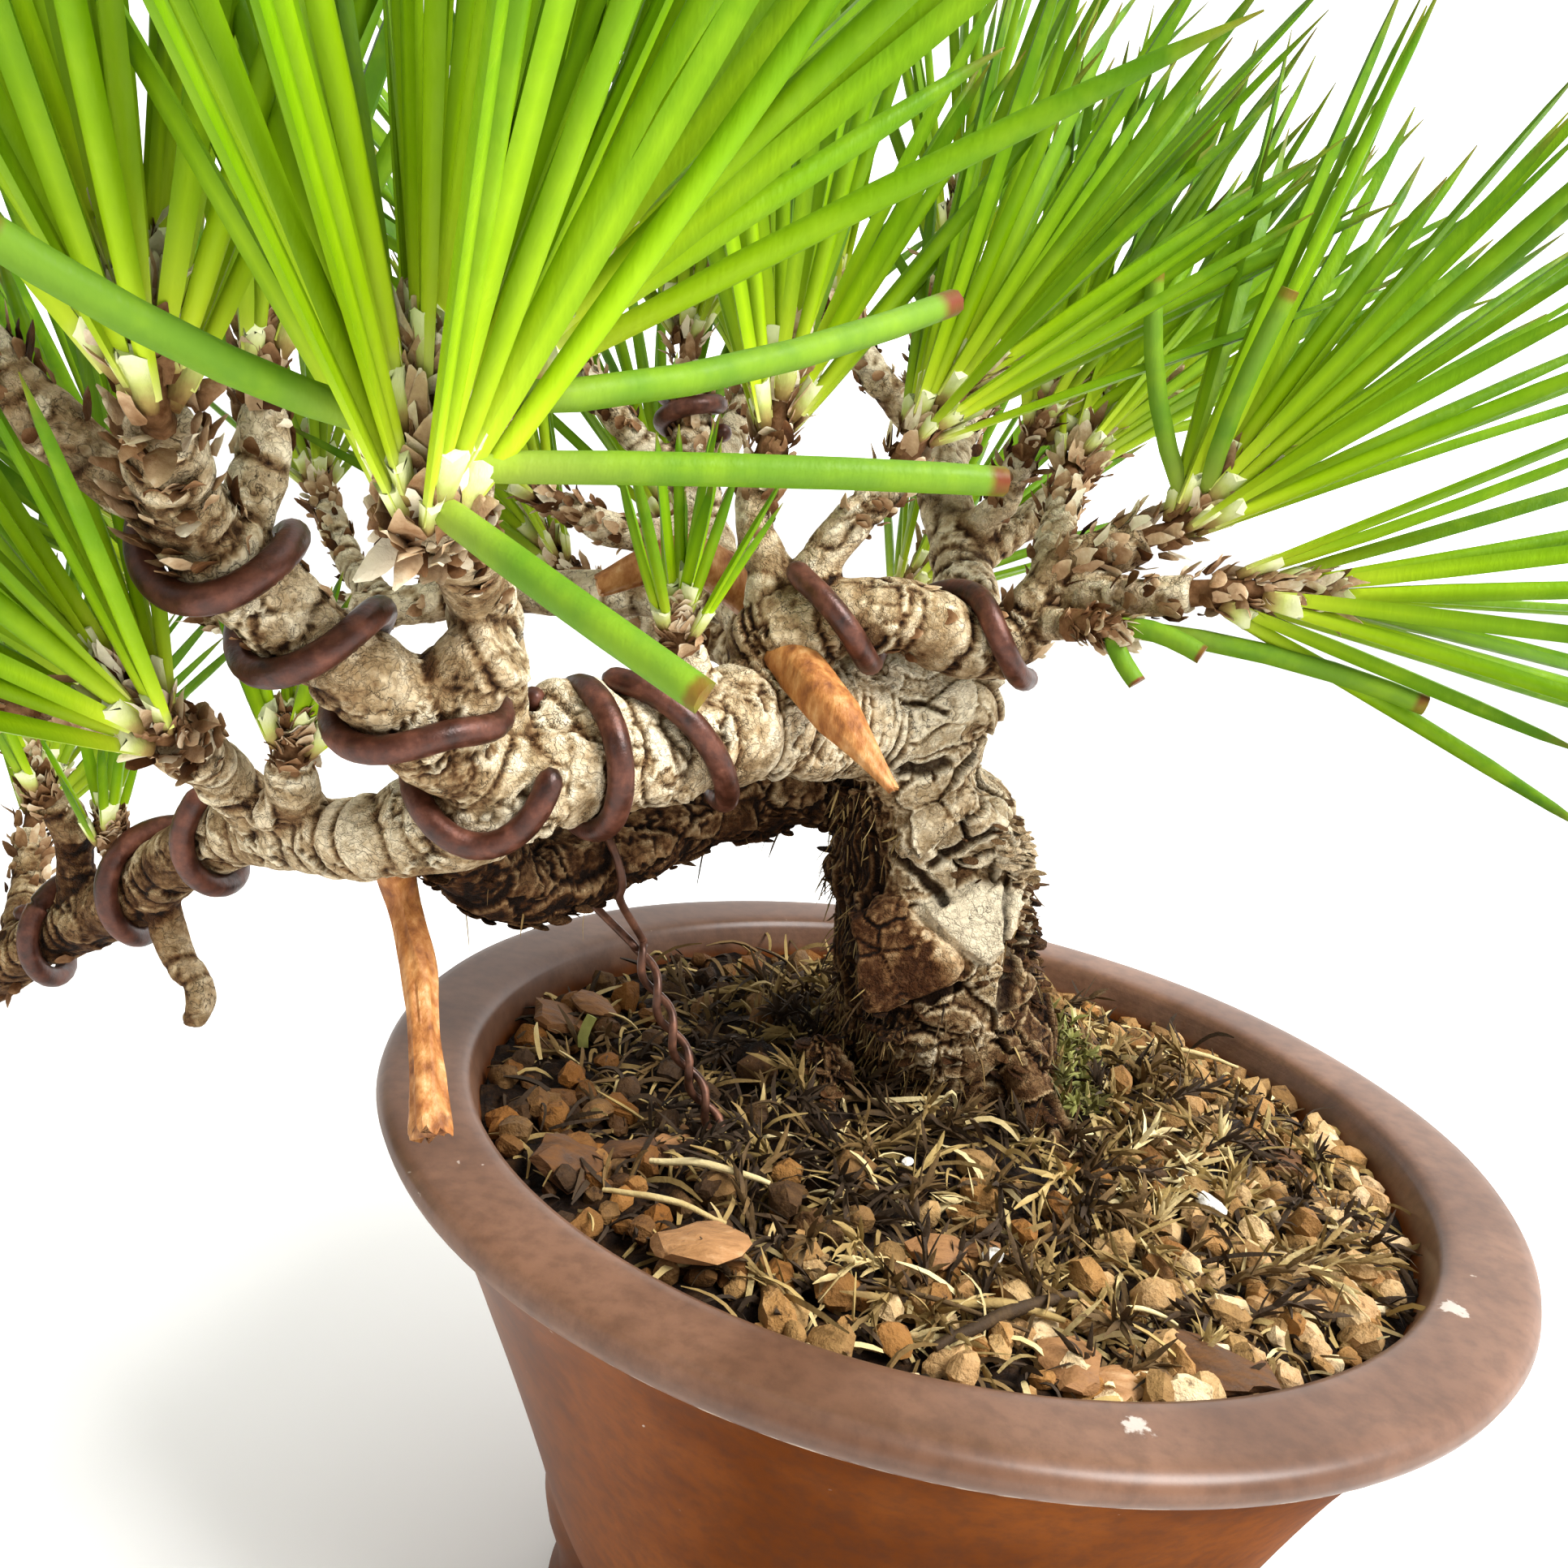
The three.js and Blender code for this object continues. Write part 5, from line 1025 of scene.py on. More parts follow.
    # The far limb is older wood, dark and warm brown, and is painted darker still underneath, as shade.
    far = smooth(-46, -57, points[:, 0]) * smooth(6, 2, points[:, 1] - 8)
    crust = bell(points, [-3.8, -5, 58.9], [1.9, 4, 1.7]) * smooth(0, 0.3, noise(points, 0.5, 95))
    # Painted shade: the bark is darkened where it faces down, all over the lower limb and on the trunk's left
    # side.
    below = smooth(0.1, -0.75, normal[:, 2]) * (1 - 0.55 * trunk)
    dark_bark_and_shade = np.clip(0.95 * dark_side + np.where(lower_limb, 0.6, 0.22) * below + 0.7 * lower_limb, 0, 1)
    for darkening in (trunk * smooth(52, 46, points[:, 2]) * 0.8 * (1 - 0.4 * foot_ring),
                  0.75 * trunk * smooth(1, 3.4, points[:, 0]) * smooth(60, 55, points[:, 2]),
                  far * (0.3 + 0.45 * smooth(0.5, -0.4, normal[:, 2]))):
        dark_bark_and_shade = np.maximum(dark_bark_and_shade, darkening)
    own = scale_own * (1 - old) + (0.5 * plate_own + 0.6 * flake_own) * old * (1 - plates)
    light = 0.66 - 0.15 * (branch == RIGHT_BRANCH) + 0.13 * own + 0.2 * (fold - 0.5) * (1 - old) - 0.55 * dark_bark_and_shade
    # Painted light and shade: bark in hollows is darkened and bark on ridges is lightened.
    light = light + np.clip(-5 * cavity, -0.3, 0.3) + 0.1 * noise(points, 2.2, 91)
    pale = (0.6 * crust * dark_plate + 0.7 * pale_plate + 0.24 * knob + 0.08 * upper_limb
            + trunk * 0.25 * bell(points, [1, -4, 64], [2.6, 4, 2.6]))
    dark = 0.42 * dark_plate * smooth(-0.55, 0.1, noise(points, 1.5, 64)) + 0.2 * foot_ring * (1 - dark_plate)
    warm = 0.2 + 0.25 * noise(points, 2.6, 61) + 0.8 * dark_plate + 0.4 * lower_limb + 0.35 * far - 0.5 * knob
    # The furrow layer also darkens hollows, as painted shade.
    piece(name, points, [quads], wood, ["wood"], sharp=75, layers={
        "light": light + pale - dark, "furrow": np.clip(furrow + smooth(0.02, 0.1, cavity) * 0.55, 0, 1),
        "warm": np.clip(warm, 0, 1)})
    return points, normal, near[:, BRANCH], dark_side


wood = Finish("pine_bark", {"IOR": 1.4, "Specular IOR Level": 0.2})
scales = wood.noise(0.9, 7)
coarse_cracks, fine_cracks = wood.cracks(1.7, 1.8), wood.cracks(0.6, 1.4)
patches = wood.noise(2.2, 3)
lightness = wood.layer("light") + (scales - 0.5) * 0.45 + (wood.noise(0.3, 4) - 0.5) * 0.35
wood_colour = wood.ramp(lightness, [(0.05, "#170b03"), (0.25, "#41270d"), (0.45, "#73583a"),
                                    (0.62, "#98825f"), (0.8, "#bfac8b"), (1, "#e2d5b8")])
wood_colour = wood.mix(wood.layer("warm") * 0.6, wood_colour, wood.ramp(lightness, [
    (0.05, "#150903"), (0.3, "#43210c"), (0.6, "#7d5129"), (1, "#c09a68")]))
split = wood.span(coarse_cracks, 0.035, 0.0) * wood.span(patches, 0.48, 0.6)
split = split * wood.span(wood.layer("warm"), 0.95, 0.7)
crazed = wood.span(fine_cracks, 0.06, 0.0) * wood.span(patches, 0.55, 0.42) * wood.span(scales, 0.42, 0.6)
wood_colour = wood.mix(split * 0.85, wood_colour, "#1d0f05")
wood_colour = wood.mix(crazed * 0.6, wood_colour, "#2c1a0b")
# Dark furrows, and hollows darkened as painted shade.
wood.set("Base Color", wood.mix(wood.layer("furrow") * 0.8, wood_colour, "#170b04"))
wood.set("Roughness", wood.span(scales, 0.3, 0.7, 0.95, 0.7))
wood.bump(scales * 0.8 + wood.span(coarse_cracks, 0.0, 0.1) * 0.3 + wood.span(fine_cracks, 0.0, 0.12) * 0.2
          + wood.noise(0.3, 4) * 0.35, 0.26)

lumps = [lump(*row, seed) for seed, row in enumerate(BARK_LUMPS)]
rolls = [limb(*row, 3) for row in BARK_ROLLS]
plates = [slab(*row) for row in BARK_SLABS]
# The trunk's bark is one skin, with the first three lumps and five rolls, and the limbs' another.
skins = [bark("trunk_bark", ["trunk"], lumps[:3] + rolls[:5] + plates, TRUNK_PITCH),
         bark("limb_bark", FRONT, lumps[3:] + rolls[5:], FRONT_PITCH)]
bark("rear_limb_bark", REAR, [], REAR_PITCH)
points, normal, branch, hairy = (np.concatenate(pair) for pair in zip(*skins))

# Fine brown fibres and flakes of old bark hang on the trunk's left side, its foot and its right
# edge, and ragged flakes under the lower limb.
FIBRES, FLAKES = 1900, 480
draw = np.random.default_rng(58)
trunk_foot = smooth(57, 47, points[:, 2]) * (branch == TRUNK) * (points[:, 2] > 45)
right_edge = bell(points, [4.2, 0.5, 57.5], [3, 4, 4])
right_scales = bell(points, [1.6, -2, 64.5], [2.2, 3, 2.8])
hanging = (branch == LOWER_LIMB) * smooth(0.2, -0.6, normal[:, 2]) * 2
chance = hairy + 0.8 * trunk_foot + 1.5 * right_edge + 0.03 * hanging
chosen = draw.choice(len(points), FIBRES, replace=False, p=chance / chance.sum())
ways = normal[chosen] * 0.16 + directions(draw, FIBRES) * 0.45 + [0, 0, -0.85]
starts = points[chosen] - 0.1 * normal[chosen]
lines = arcs(draw, starts, ways, draw.uniform(0.6, 2.2, FIBRES), 5, 0.1, 0.9)
widths = draw.uniform(0.025, 0.09, (FIBRES, 1)) * np.array([0.8, 1, 1, 0.8, 0.3])
hairs, faces = strands(lines, widths, circle(3), normal[chosen][:, None] + [0.01, 0.02, 0.03])
piece("bark_hairs", hairs, faces, dried, sharp=80, layers={
    "tone": np.repeat(np.clip(draw.normal(0.42, 0.18, FIBRES), 0.05, 0.85), 5 * 3)})
chance = 0.4 * trunk_foot + 5 * right_edge + 6 * right_scales + 0.9 * hanging + 0.3 * hairy
chosen = draw.choice(len(points), FLAKES, replace=False, p=chance / chance.sum())
centres = points[chosen] + 0.12 * normal[chosen]
flakes, faces, each = pebbles(draw, centres, draw.uniform(0.3, 0.85, FLAKES), flat=0.16, sides=5)
tones = 0.12 + 0.75 * right_scales[chosen] + 0.25 * draw.uniform(0, 1, FLAKES)
piece("bark_flakes", flakes, faces, wood, sharp=30, layers={
    "light": np.repeat(np.clip(tones, 0, 0.9), each),
    "warm": np.repeat(draw.uniform(0.2, 0.7, FLAKES), each)})

# ---- Dead stubs --------------------------------------------------------------------------------
# Three dead branches stripped of bark and carved to bare orange wood: one hangs from the upper
# limb and ends broken off square, one comes forward over the trunk to a point, and one lies behind.

STUB_STATIONS, STUB_SIDES = 90, 36
# Route, radii and how deep the wood is torn.
STUBS = {
    "stub_hanging": ([(-36.6, -18.8, 64), (-36.1, -17.6, 60.4), (-34.2, -20, 57.4), (-32.5, -23, 53.6),
                      (-31.1, -26, 50.2)], [1.4, 1.05, 0.85, 0.95, 1.08], 0.26),
    "stub_front": ([(-17, -8.8, 77.2), (-15, -11.4, 76.2), (-12.4, -14, 74.2), (-8.7, -16.4, 71)],
                   [1.4, 1.5, 1.38, 0.3], 0.07),
    "stub_back": ([(-14.6, 8, 74), (-19.4, 4.6, 78.4), (-24, 2.4, 80.6), (-29.6, 0.6, 78)],
                  [1.4, 1.55, 1.65, 0.85], 0.1),
}
bare = Finish("carved_dead_wood", {"IOR": 1.45})
streak = bare.noise(0.9, 6, (1, 1, 2.2))
stain = bare.noise(2.6, 4)
bare_colour = bare.ramp(streak, [(0.3, "#6f3c14"), (0.46, "#9a5f28"), (0.6, "#b67f46"), (0.78, "#d3ab78")])
stained = bare.span(stain, 0.5, 0.72) * bare.layer("stain")
bare.set("Base Color", bare.mix(stained, bare_colour, "#572a10"))
bare.set("Roughness", bare.span(streak, 0.3, 0.7, 0.7, 0.48))
bare.bump(streak + bare.noise(0.3, 3, (1, 1, 3)) * 0.5, 0.14)
for name, (route, radii, torn) in STUBS.items():
    t = np.linspace(0, 1, STUB_STATIONS)
    centre, along, over, side, radius = follow(route, radii, t)
    angle = whole_turn(STUB_SIDES)
    straight = about(3, angle, 14 * t[:, None])[..., [2, 0, 1]]
    groove = rough(straight * [0.25, 1, 1], 0.9, 71, 3)
    facets = noise(straight * [0.5, 0.45, 0.45], 1.2, 73)
    radius = np.maximum(radius[:, None] + torn * groove + 0.14 * facets * min(radii[1], 1.2), 0.12)
    points = centre[:, None] + radius[..., None] * swing(over[:, None], side[:, None], angle[:, None])
    points[-3:] += along[-3:, None] * (torn * 1.6 * noise(straight[-3:] * [0, 2, 2], 1, 5))[..., None]
    piece(name, points.reshape(-1, 3), closed_grid(STUB_STATIONS, STUB_SIDES), bare, ["wood"],
          sharp=50, layers={"stain": np.full(STUB_STATIONS * STUB_SIDES, 0.9 if torn > 0.2 else 0.15)})

# ---- Training wire -----------------------------------------------------------------------------
# Brown anodised aluminium wire, 1.5 mm thick, wound round the limbs to hold their bends. Each
# piece winds round one limb between two places along it; then its turns and first angle, in degrees.

WIRE_RADIUS = 0.75
WIRES = {
    "wire_right_branch": ("right_branch", 0.22, 0.66, 1.5, 0),
    "wire_upper_limb_root": ("upper_limb", 0.17, 0.38, 0.66, 135),
    "wire_upper_limb_inner": ("upper_limb", 0.4, 0.475, -1.25, 100),
    "wire_rising_limb": ("rising_limb", 0.07, 0.74, -3.76, 286),
    "wire_far_limb": ("far_limb", 0.08, 0.53, -2.8, -40),
    "wire_back_limb": ("back_limb", 0.82, 0.955, 1.9, 30),
}
anodised = Finish("brown_anodised_wire", {"IOR": 1.5, "Metallic": 0.35})
worn = anodised.noise(1.4, 5)
anodised.set("Base Color", anodised.ramp(worn, [(0.3, "#28120a"), (0.5, "#4b2618"), (0.68, "#6c3f2e"),
                                                (0.85, "#976b50")]))
anodised.set("Roughness", anodised.span(worn, 0.35, 0.7, 0.36, 0.55))
anodised.bump(anodised.noise(0.5, 4), 0.05)


def tube(points, radius, sides):
    """A round wire along a line, with a rounded end: its last three rings at each end narrow as a
    ball does."""
    width = np.full(len(points), radius)
    width[[0, 1, 2]] = width[[-1, -2, -3]] = radius * np.array([0.35, 0.8, 0.97])
    return strands(points[None], width[None], circle(sides), [0.31, 0.52, 0.79])


def lifted(points, room):
    """Moves the points of a line out of the branches, straight away from the nearest branch, until
    they have the room, and then evens the line out."""
    for _ in range(6):
        best, depth = nearest_sample(points)
        points = points + unit(points - samples[best, PLACE]) * np.maximum(room - depth, 0)[:, None]
        points[1:-1] = 0.5 * points[1:-1] + 0.25 * (points[:-2] + points[2:])
    return points


for name, (limb_name, start, end, turns, angle) in WIRES.items():
    t = np.linspace(0, 1, int(abs(turns) * 30))
    centre, _, over, side, radius = follow(*BRANCHES[limb_name], start + (end - start) * t)
    spin = (np.radians(angle) + 2 * np.pi * turns * t)[:, None]
    line = centre + (radius + WIRE_RADIUS + 0.1)[:, None] * swing(over, side, spin)
    line = evenly(lifted(line, WIRE_RADIUS - 0.1), 0.35)
    points, faces = tube(line, WIRE_RADIUS, 14)
    piece(name, points, faces, anodised, [name], sharp=80)

# ---- Guy wire ----------------------------------------------------------------------------------
# A thin copper wire, gone brown, folded over the lower limb. Its two strands are twisted together
# and run down to the soil, where they anchor the limb.

GUY_FOOT, GUY_KNOT, GUY_SADDLE = np.array([-14.7, -10, 43.0]), np.array([-23.1, -8, 56.5]), 0.68
GUY_RADIUS, TWIST_RADIUS, GUY_TURNS, GUY_WRAP = 0.28, 0.46, 3, 118
copper = Finish("browned_copper_wire", {"IOR": 1.5, "Metallic": 0.5})
tarnish = copper.noise(1.2, 5)
copper.set("Base Color", copper.ramp(tarnish, [(0.3, "#2f1c13"), (0.55, "#5b3a2a"), (0.75, "#8a5c44")]))
copper.set("Roughness", copper.span(tarnish, 0.3, 0.7, 0.35, 0.6))
t = np.linspace(0, 1, 70)[:, None]
down = unit(GUY_KNOT - GUY_FOOT)
first = unit(np.cross([0, 1, 0], down))
# The two strands lie half a turn apart round a line that sags a millimetre to the front.
strand_lines = [GUY_FOOT * (1 - t) + GUY_KNOT * t
                + TWIST_RADIUS * swing(first, np.cross(down, first), 2 * np.pi * GUY_TURNS * t + half)
                + [0, -1, 0] * np.sin(np.pi * t) for half in (0, np.pi)]
centre, _, over, side, radius = follow(*BRANCHES["lower_limb"], np.full(25, GUY_SADDLE))
spin = np.radians(np.linspace(-GUY_WRAP, GUY_WRAP, 25))[:, None]
saddle = centre + (radius * 1.12 + GUY_RADIUS + 0.2)[:, None] * swing(over, side, spin)
knots = np.concatenate([strand_lines[0][::2], saddle[::2], strand_lines[1][::-2]])
line = follow(knots, [1, 1], np.linspace(0, 1, 400))[0]
points, faces = tube(evenly(line, 0.3), GUY_RADIUS, 8)
piece("guy_wire_twisted", points, faces, copper, ["guy_wire"], sharp=80)

# ---- Needle tufts ------------------------------------------------------------------------------
# Black pine needles grow in pairs from one papery sheath, spread round the end of each shoot, with
# a few of last year's below them. Young ones are lime green at the root and darker at the tip.

# Each tuft's aim, how many needles it has, their length, the fan's half angle in degrees and how old
# they look, from 0 to 1.
TUFTS = {
    "front": ((-0.05, -0.12, 1), 50, 33, 32, 0.0), "front_right": ((0.42, 0.1, 1), 36, 31, 30, 0.05),
    "rising_limb": ((-0.18, -0.1, 1), 40, 31, 32, 0.15), "dry": ((0, 0.15, 1), 16, 22, 20, 0.9),
    "rising_side": ((-0.6, 0, 1), 34, 30, 34, 0.2), "left_low": ((-0.5, -0.35, 0.75), 34, 22, 34, 0.1),
    "left_low_side": ((-1, -0.1, 0.35), 26, 24, 34, 0.1), "cut_stub": ((0.1, -0.1, 1), 12, 9, 28, 0.3),
    "thin_left": ((-0.25, 0, 1), 14, 15, 34, 0.5), "limb_spur": ((0.1, -0.2, 1), 10, 9, 24, 0.4),
    "bud": ((0, -0.1, 1), 14, 11.5, 26, 0.1), "middle": ((0.05, 0, 1), 30, 28, 30, 0.25),
    "middle_right": ((0.6, 0.1, 1), 36, 30, 32, 0.2), "right_branch": ((0.66, 0.05, 0.95), 40, 31, 28, 0.2),
    "right_low": ((1, -0.15, 0.12), 16, 28, 24, 0.3), "right_back": ((0.4, 0.4, 1), 28, 29, 32, 0.35),
    "right_under": ((0.8, -0.5, -0.1), 0, 12, 17, 0.8), "crown_limb": ((0.1, 0.1, 1), 28, 28, 34, 0.4),
    "crown_left": ((-0.5, 0, 1), 28, 27, 32, 0.4), "crown_right": ((0.8, 0.2, 1), 28, 29, 32, 0.35),
    "crown_back": ((0.2, 0.9, 1), 28, 27, 34, 0.5), "crown_front": ((0.25, -0.2, 1), 24, 27, 28, 0.35),
    "back_limb": ((-0.1, 0.1, 1), 28, 26, 36, 0.5), "back_left": ((-0.8, 0, 1), 28, 27, 32, 0.5),
    "back_low": ((-0.8, -0.3, 0.8), 24, 24, 32, 0.6), "back_rear": ((0, 0.8, 1), 28, 27, 34, 0.5),
    "rear_limb": ((-0.4, 0.7, 1), 28, 28, 34, 0.5), "rear_left": ((-0.9, 0.3, 0.9), 26, 27, 32, 0.55),
    "rear_right": ((0.6, 0.7, 1), 28, 28, 34, 0.5), "side_limb": ((-0.9, 0, 0.8), 28, 28, 34, 0.8),
    "side_back": ((-0.5, 0.8, 0.9), 26, 27, 32, 0.6), "side_front": ((-0.4, -0.4, 1), 26, 25, 30, 0.8),
    "far_limb": ((-0.7, 0, 1), 28, 28, 34, 0.4), "far_up": ((-0.1, -0.2, 1), 26, 26, 34, 0.4),
    "far_back": ((-0.1, 0.6, 1), 26, 26, 34, 0.45), "far_side": ((-0.5, -0.6, 0.9), 26, 26, 32, 0.4),
}
# Needles that stand alone, cut short by the shears: bend and tip of each.
STRAYS = {
    "front": [((-23.4, -51.4, 83.8), (-17.8, -54, 81.6)), ((-18, -44.4, 88.4), (-8.4, -40.6, 89.2)),
              ((-33.4, -52.4, 88.4), (-38.6, -57, 91.8)), ((-21.6, -45.4, 89.4), (-10.8, -31, 96.4))],
    "right_branch": [((2.6, -8.6, 94.6), (1.6, -9.4, 102)), ((6.6, -11, 94), (8.4, -13, 101.6))],
    "right_under": [((12, -13.2, 82.4), (20.4, -15.4, 80.4)), ((4.4, -13, 82.6), (7.6, -14.4, 81.2)),
                    ((2.8, -13, 80.6), (4.4, -14, 79))],
}
NEEDLE_WIDTH = 1.0
NEEDLE_STATIONS = np.array([0, 0.12, 0.3, 0.5, 0.7, 0.88, 1])
NEEDLE_TAPER = np.array([0.62, 0.85, 1, 1, 0.94, 0.62, 0.08])
# A needle's section is half round: flat inside, arched outside.
NEEDLE_SECTION = [(-0.5, -0.14), (0, -0.2), (0.5, -0.14), (0.36, 0.2), (0, 0.34), (-0.36, 0.2)]
NEEDLE_RIM = [1, 0, 1, 0.35, 0, 0.35]      # darker along these corners
CUT_WIDTH, CUT_TAPER = 1.2, [0.7, 0.95, 1, 1, 1, 0.98, 0.95]
NEEDLE_POINTS = len(NEEDLE_STATIONS) * len(NEEDLE_SECTION)

leaf = Finish("pine_needles", {"IOR": 1.45, "Specular IOR Level": 0.12})
reach = leaf.layer("reach")
young_colour = leaf.ramp(reach, [(0.0, "#d8d880"), (0.07, "#b6ca26"), (0.22, "#93b406"), (0.55, "#719b04"),
                                 (0.88, "#4a7402"), (1, "#6b5a20")])
old_colour = leaf.ramp(reach, [(0.0, "#a9a84c"), (0.1, "#7b9218"), (0.4, "#4c720a"), (0.85, "#2a4f05"),
                               (1, "#5c431c")])
cut_colour = leaf.ramp(reach, [(0.0, "#93a040"), (0.4, "#5a801e"), (0.955, "#658724"), (0.975, "#6b3420")])
leaf_colour = leaf.mix(leaf.layer("age"), young_colour, old_colour)
leaf_colour = leaf.mix(leaf.layer("cut"), leaf_colour, cut_colour)
leaf_colour = leaf.mix(leaf.span(leaf.noise(2.5, 3), 0.4, 0.7, 0, 0.25), leaf_colour, "#9ab91e")
leaf_edge = leaf.layer("rim") * leaf.span(reach, 0.02, 0.3, 0.1, 0.5)
leaf.set("Base Color", leaf.mix(leaf_edge, leaf_colour, "#446c02"))
leaf.set("Roughness", leaf.span(leaf.noise(1.2, 3), 0.3, 0.7, 0.4, 0.58))
leaf.bump(leaf.noise(0.35, 2, (1, 1, 3)), 0.04)


def shoot_line(name, stations):
    """The shoot that carries a tuft: on from its twig's end, then turning towards the tuft's aim."""
    centre, along, *_ = follow(*BRANCHES[name], np.array([1.0]))
    aim, _, length, *_ = TUFTS[name]
    reach = max(3, min(8, 0.27 * length))
    start = centre[0] + 0.2 * along[0]
    turning = start + 0.3 * reach * along[0]
    knots = [start, turning, turning + 0.7 * reach * unit(np.array(aim, float))]
    return follow(knots, [1, 1], np.linspace(0, 1, stations))[0]


def pair_fan(name, draw):
    """Lines of a tuft's needles, in pairs: a spiral round the aim, turned by the golden angle, that
    leans out as the square root of the needle's number, so that the fan is evenly filled."""
    aim, count, length, spread, _ = TUFTS[name]
    pairs = count // 2
    if not pairs:
        return np.zeros((0, len(NEEDLE_STATIONS), 3)), np.zeros((0, 3))
    aim = unit(np.array(aim, float))
    side = unit(np.cross([0, 0.2, 1], aim))
    i = np.arange(pairs)
    lean = np.radians(spread) * np.sqrt((i + draw.uniform(0, 1, pairs)) / pairs)
    turned = GOLDEN_ANGLE * i + draw.uniform(0, 0.6, pairs)
    out = swing(side, np.cross(aim, side), turned[:, None])
    way = swing(aim, out, lean[:, None])
    place = (20 * (0.98 - 0.55 * i / pairs)).astype(int)
    root = shoot_line(name, 21)[place] + out * np.minimum(1.1, 0.25 * i)[:, None]
    apart = unit(np.cross(way, directions(draw, pairs)))
    # From here on, the two needles of a pair follow each other.
    apart = np.stack([apart, -apart], 1).reshape(-1, 3)
    opening = np.repeat(draw.uniform(0.03, 0.09, (pairs, 1)), 2, 0)
    way, root, out = (np.repeat(array, 2, 0) for array in (way, root, out))
    ways, roots = unit(way + apart * opening), root + 0.3 * apart
    lengths = length * np.clip(draw.normal(0.88, 0.1, pairs * 2), 0.5, 1.0)
    bow = unit(out + 0.6 * directions(draw, pairs * 2)) * draw.uniform(-0.03, 0.07, (pairs * 2, 1))
    t = NEEDLE_STATIONS[:, None]
    shape = ways[:, None] * t + bow[:, None] * t * t - aim * 0.03 * t
    lines = roots[:, None] + shape * lengths[:, None, None]
    # A pair goes if either needle would pass through wood.
    _, depth = nearest_sample(lines[:, 3:].reshape(-1, 3))
    kept = np.repeat((depth.reshape(pairs, -1).min(1) > 0.5), 2)
    return lines[kept], apart[kept]


def cut_needles(name):
    """Lines of a tuft's cut needles: each leaves the shoot for its bend and ends at its tip, as
    a (1 - t)^2 + 2 b t (1 - t) + c t^2."""
    t = NEEDLE_STATIONS[:, None]
    shoot = shoot_line(name, 21)
    starts = [shoot[int(20 * (0.55 + 0.1 * k))] for k in range(len(STRAYS[name]))]
    return np.stack([a * (1 - t) ** 2 + 2 * np.array(b) * t * (1 - t) + np.array(c) * t ** 2
                     for a, (b, c) in zip(starts, STRAYS[name])])


draw = np.random.default_rng(4117)
sheath_lines, sheath_sides = [], []
for name, (_, _, length, _, tint) in TUFTS.items():
    lines, sides = pair_fan(name, draw)
    sheath_lines.append(0.5 * (lines[::2] + lines[1::2]))
    sheath_sides.append(sides[::2])
    width = NEEDLE_WIDTH * (0.8 if length < 16 else 1) * draw.uniform(0.86, 1.08, (len(lines), 1))
    taper, cut = width * NEEDLE_TAPER, np.zeros(len(lines))
    if name in STRAYS:
        more = cut_needles(name)
        lines = np.concatenate([lines, more])
        sides = np.concatenate([sides, unit(np.cross(more[:, -1] - more[:, 0], [0.2, -1, 0.1]))])
        taper = np.concatenate([taper, np.full((len(more), 1), CUT_WIDTH) * CUT_TAPER])
        cut = np.append(cut, np.ones(len(more)))
    flat = np.cross(sides, lines[:, -1] - lines[:, 0])[:, None]
    points, faces = strands(lines, taper, NEEDLE_SECTION, flat)
    shade = np.clip(tint * 0.85 + draw.normal(0.04, 0.22, len(lines)), 0, 1)
    reach = np.repeat(NEEDLE_STATIONS, len(NEEDLE_SECTION))
    piece(f"needles_{name}", points, faces, leaf,
          [f"tuft_{name}"], sharp=85, layers={
              "reach": np.tile(reach, len(lines)), "age": np.repeat(shade, NEEDLE_POINTS),
              "cut": np.repeat(cut, NEEDLE_POINTS),
              "rim": np.tile(NEEDLE_RIM, len(NEEDLE_STATIONS) * len(lines))})

# Sheaths: a thin papery sleeve round the root of each pair, oval, and cream at its torn upper edge.
paper = Finish("papery_sheaths", {"IOR": 1.35, "Roughness": 0.7, "Specular IOR Level": 0.2})
paper.set("Base Color", paper.ramp(paper.layer("reach") * 0.8 + paper.noise(0.7, 3) * 0.3, [
    (0.1, "#5f3d20"), (0.35, "#97834a"), (0.6, "#b9bf6c"), (0.9, "#dcdfae")]))
paper.bump(paper.noise(0.3, 3, (1, 1, 3)), 0.06)
SHEATH_STATIONS, SHEATH_SIDES = np.array([0, 0.3, 0.7, 0.9, 1]), 10
needle, side = np.concatenate(sheath_lines), np.concatenate(sheath_sides)
way = unit(needle[:, 1] - needle[:, 0])
lengths = draw.uniform(1.6, 2.8, (len(needle), 1, 1))
lines = (needle[:, 0] - 0.6 * way)[:, None] + way[:, None] * SHEATH_STATIONS[:, None] * lengths
widths = draw.uniform(0.9, 1.1, (len(lines), 1)) * np.array([0.4, 0.56, 0.64, 0.68, 0.72])
points, faces = strands(lines, widths, circle(SHEATH_SIDES) * [1, 0.62], np.cross(way, side)[:, None])
torn = np.tile(np.repeat([0, 0, 0, 0.35, 1.0], SHEATH_SIDES), len(lines))[:, None]
way = np.repeat(way, len(SHEATH_STATIONS) * SHEATH_SIDES, 0)
points = points + torn * way * draw.uniform(-0.4, 0.4, (len(points), 1))
piece("needle_sheaths", points, faces, paper, sharp=80,
      layers={"reach": np.tile(np.repeat(SHEATH_STATIONS, SHEATH_SIDES), len(lines))})

# Bud scales: dry brown papery leaves that clothe the last millimetres of every shoot and curl out.
husk = Finish("dry_bud_scales", {"IOR": 1.35, "Roughness": 0.75, "Specular IOR Level": 0.2})
husk.set("Base Color", husk.ramp(husk.layer("tone") * 0.85 + husk.noise(0.6, 5) * 0.4, [
    (0.15, "#241206"), (0.38, "#523218"), (0.58, "#886545"), (0.78, "#bb9f7c"), (1, "#ebe0c6")]))
husk.bump(husk.noise(0.35, 3), 0.08)


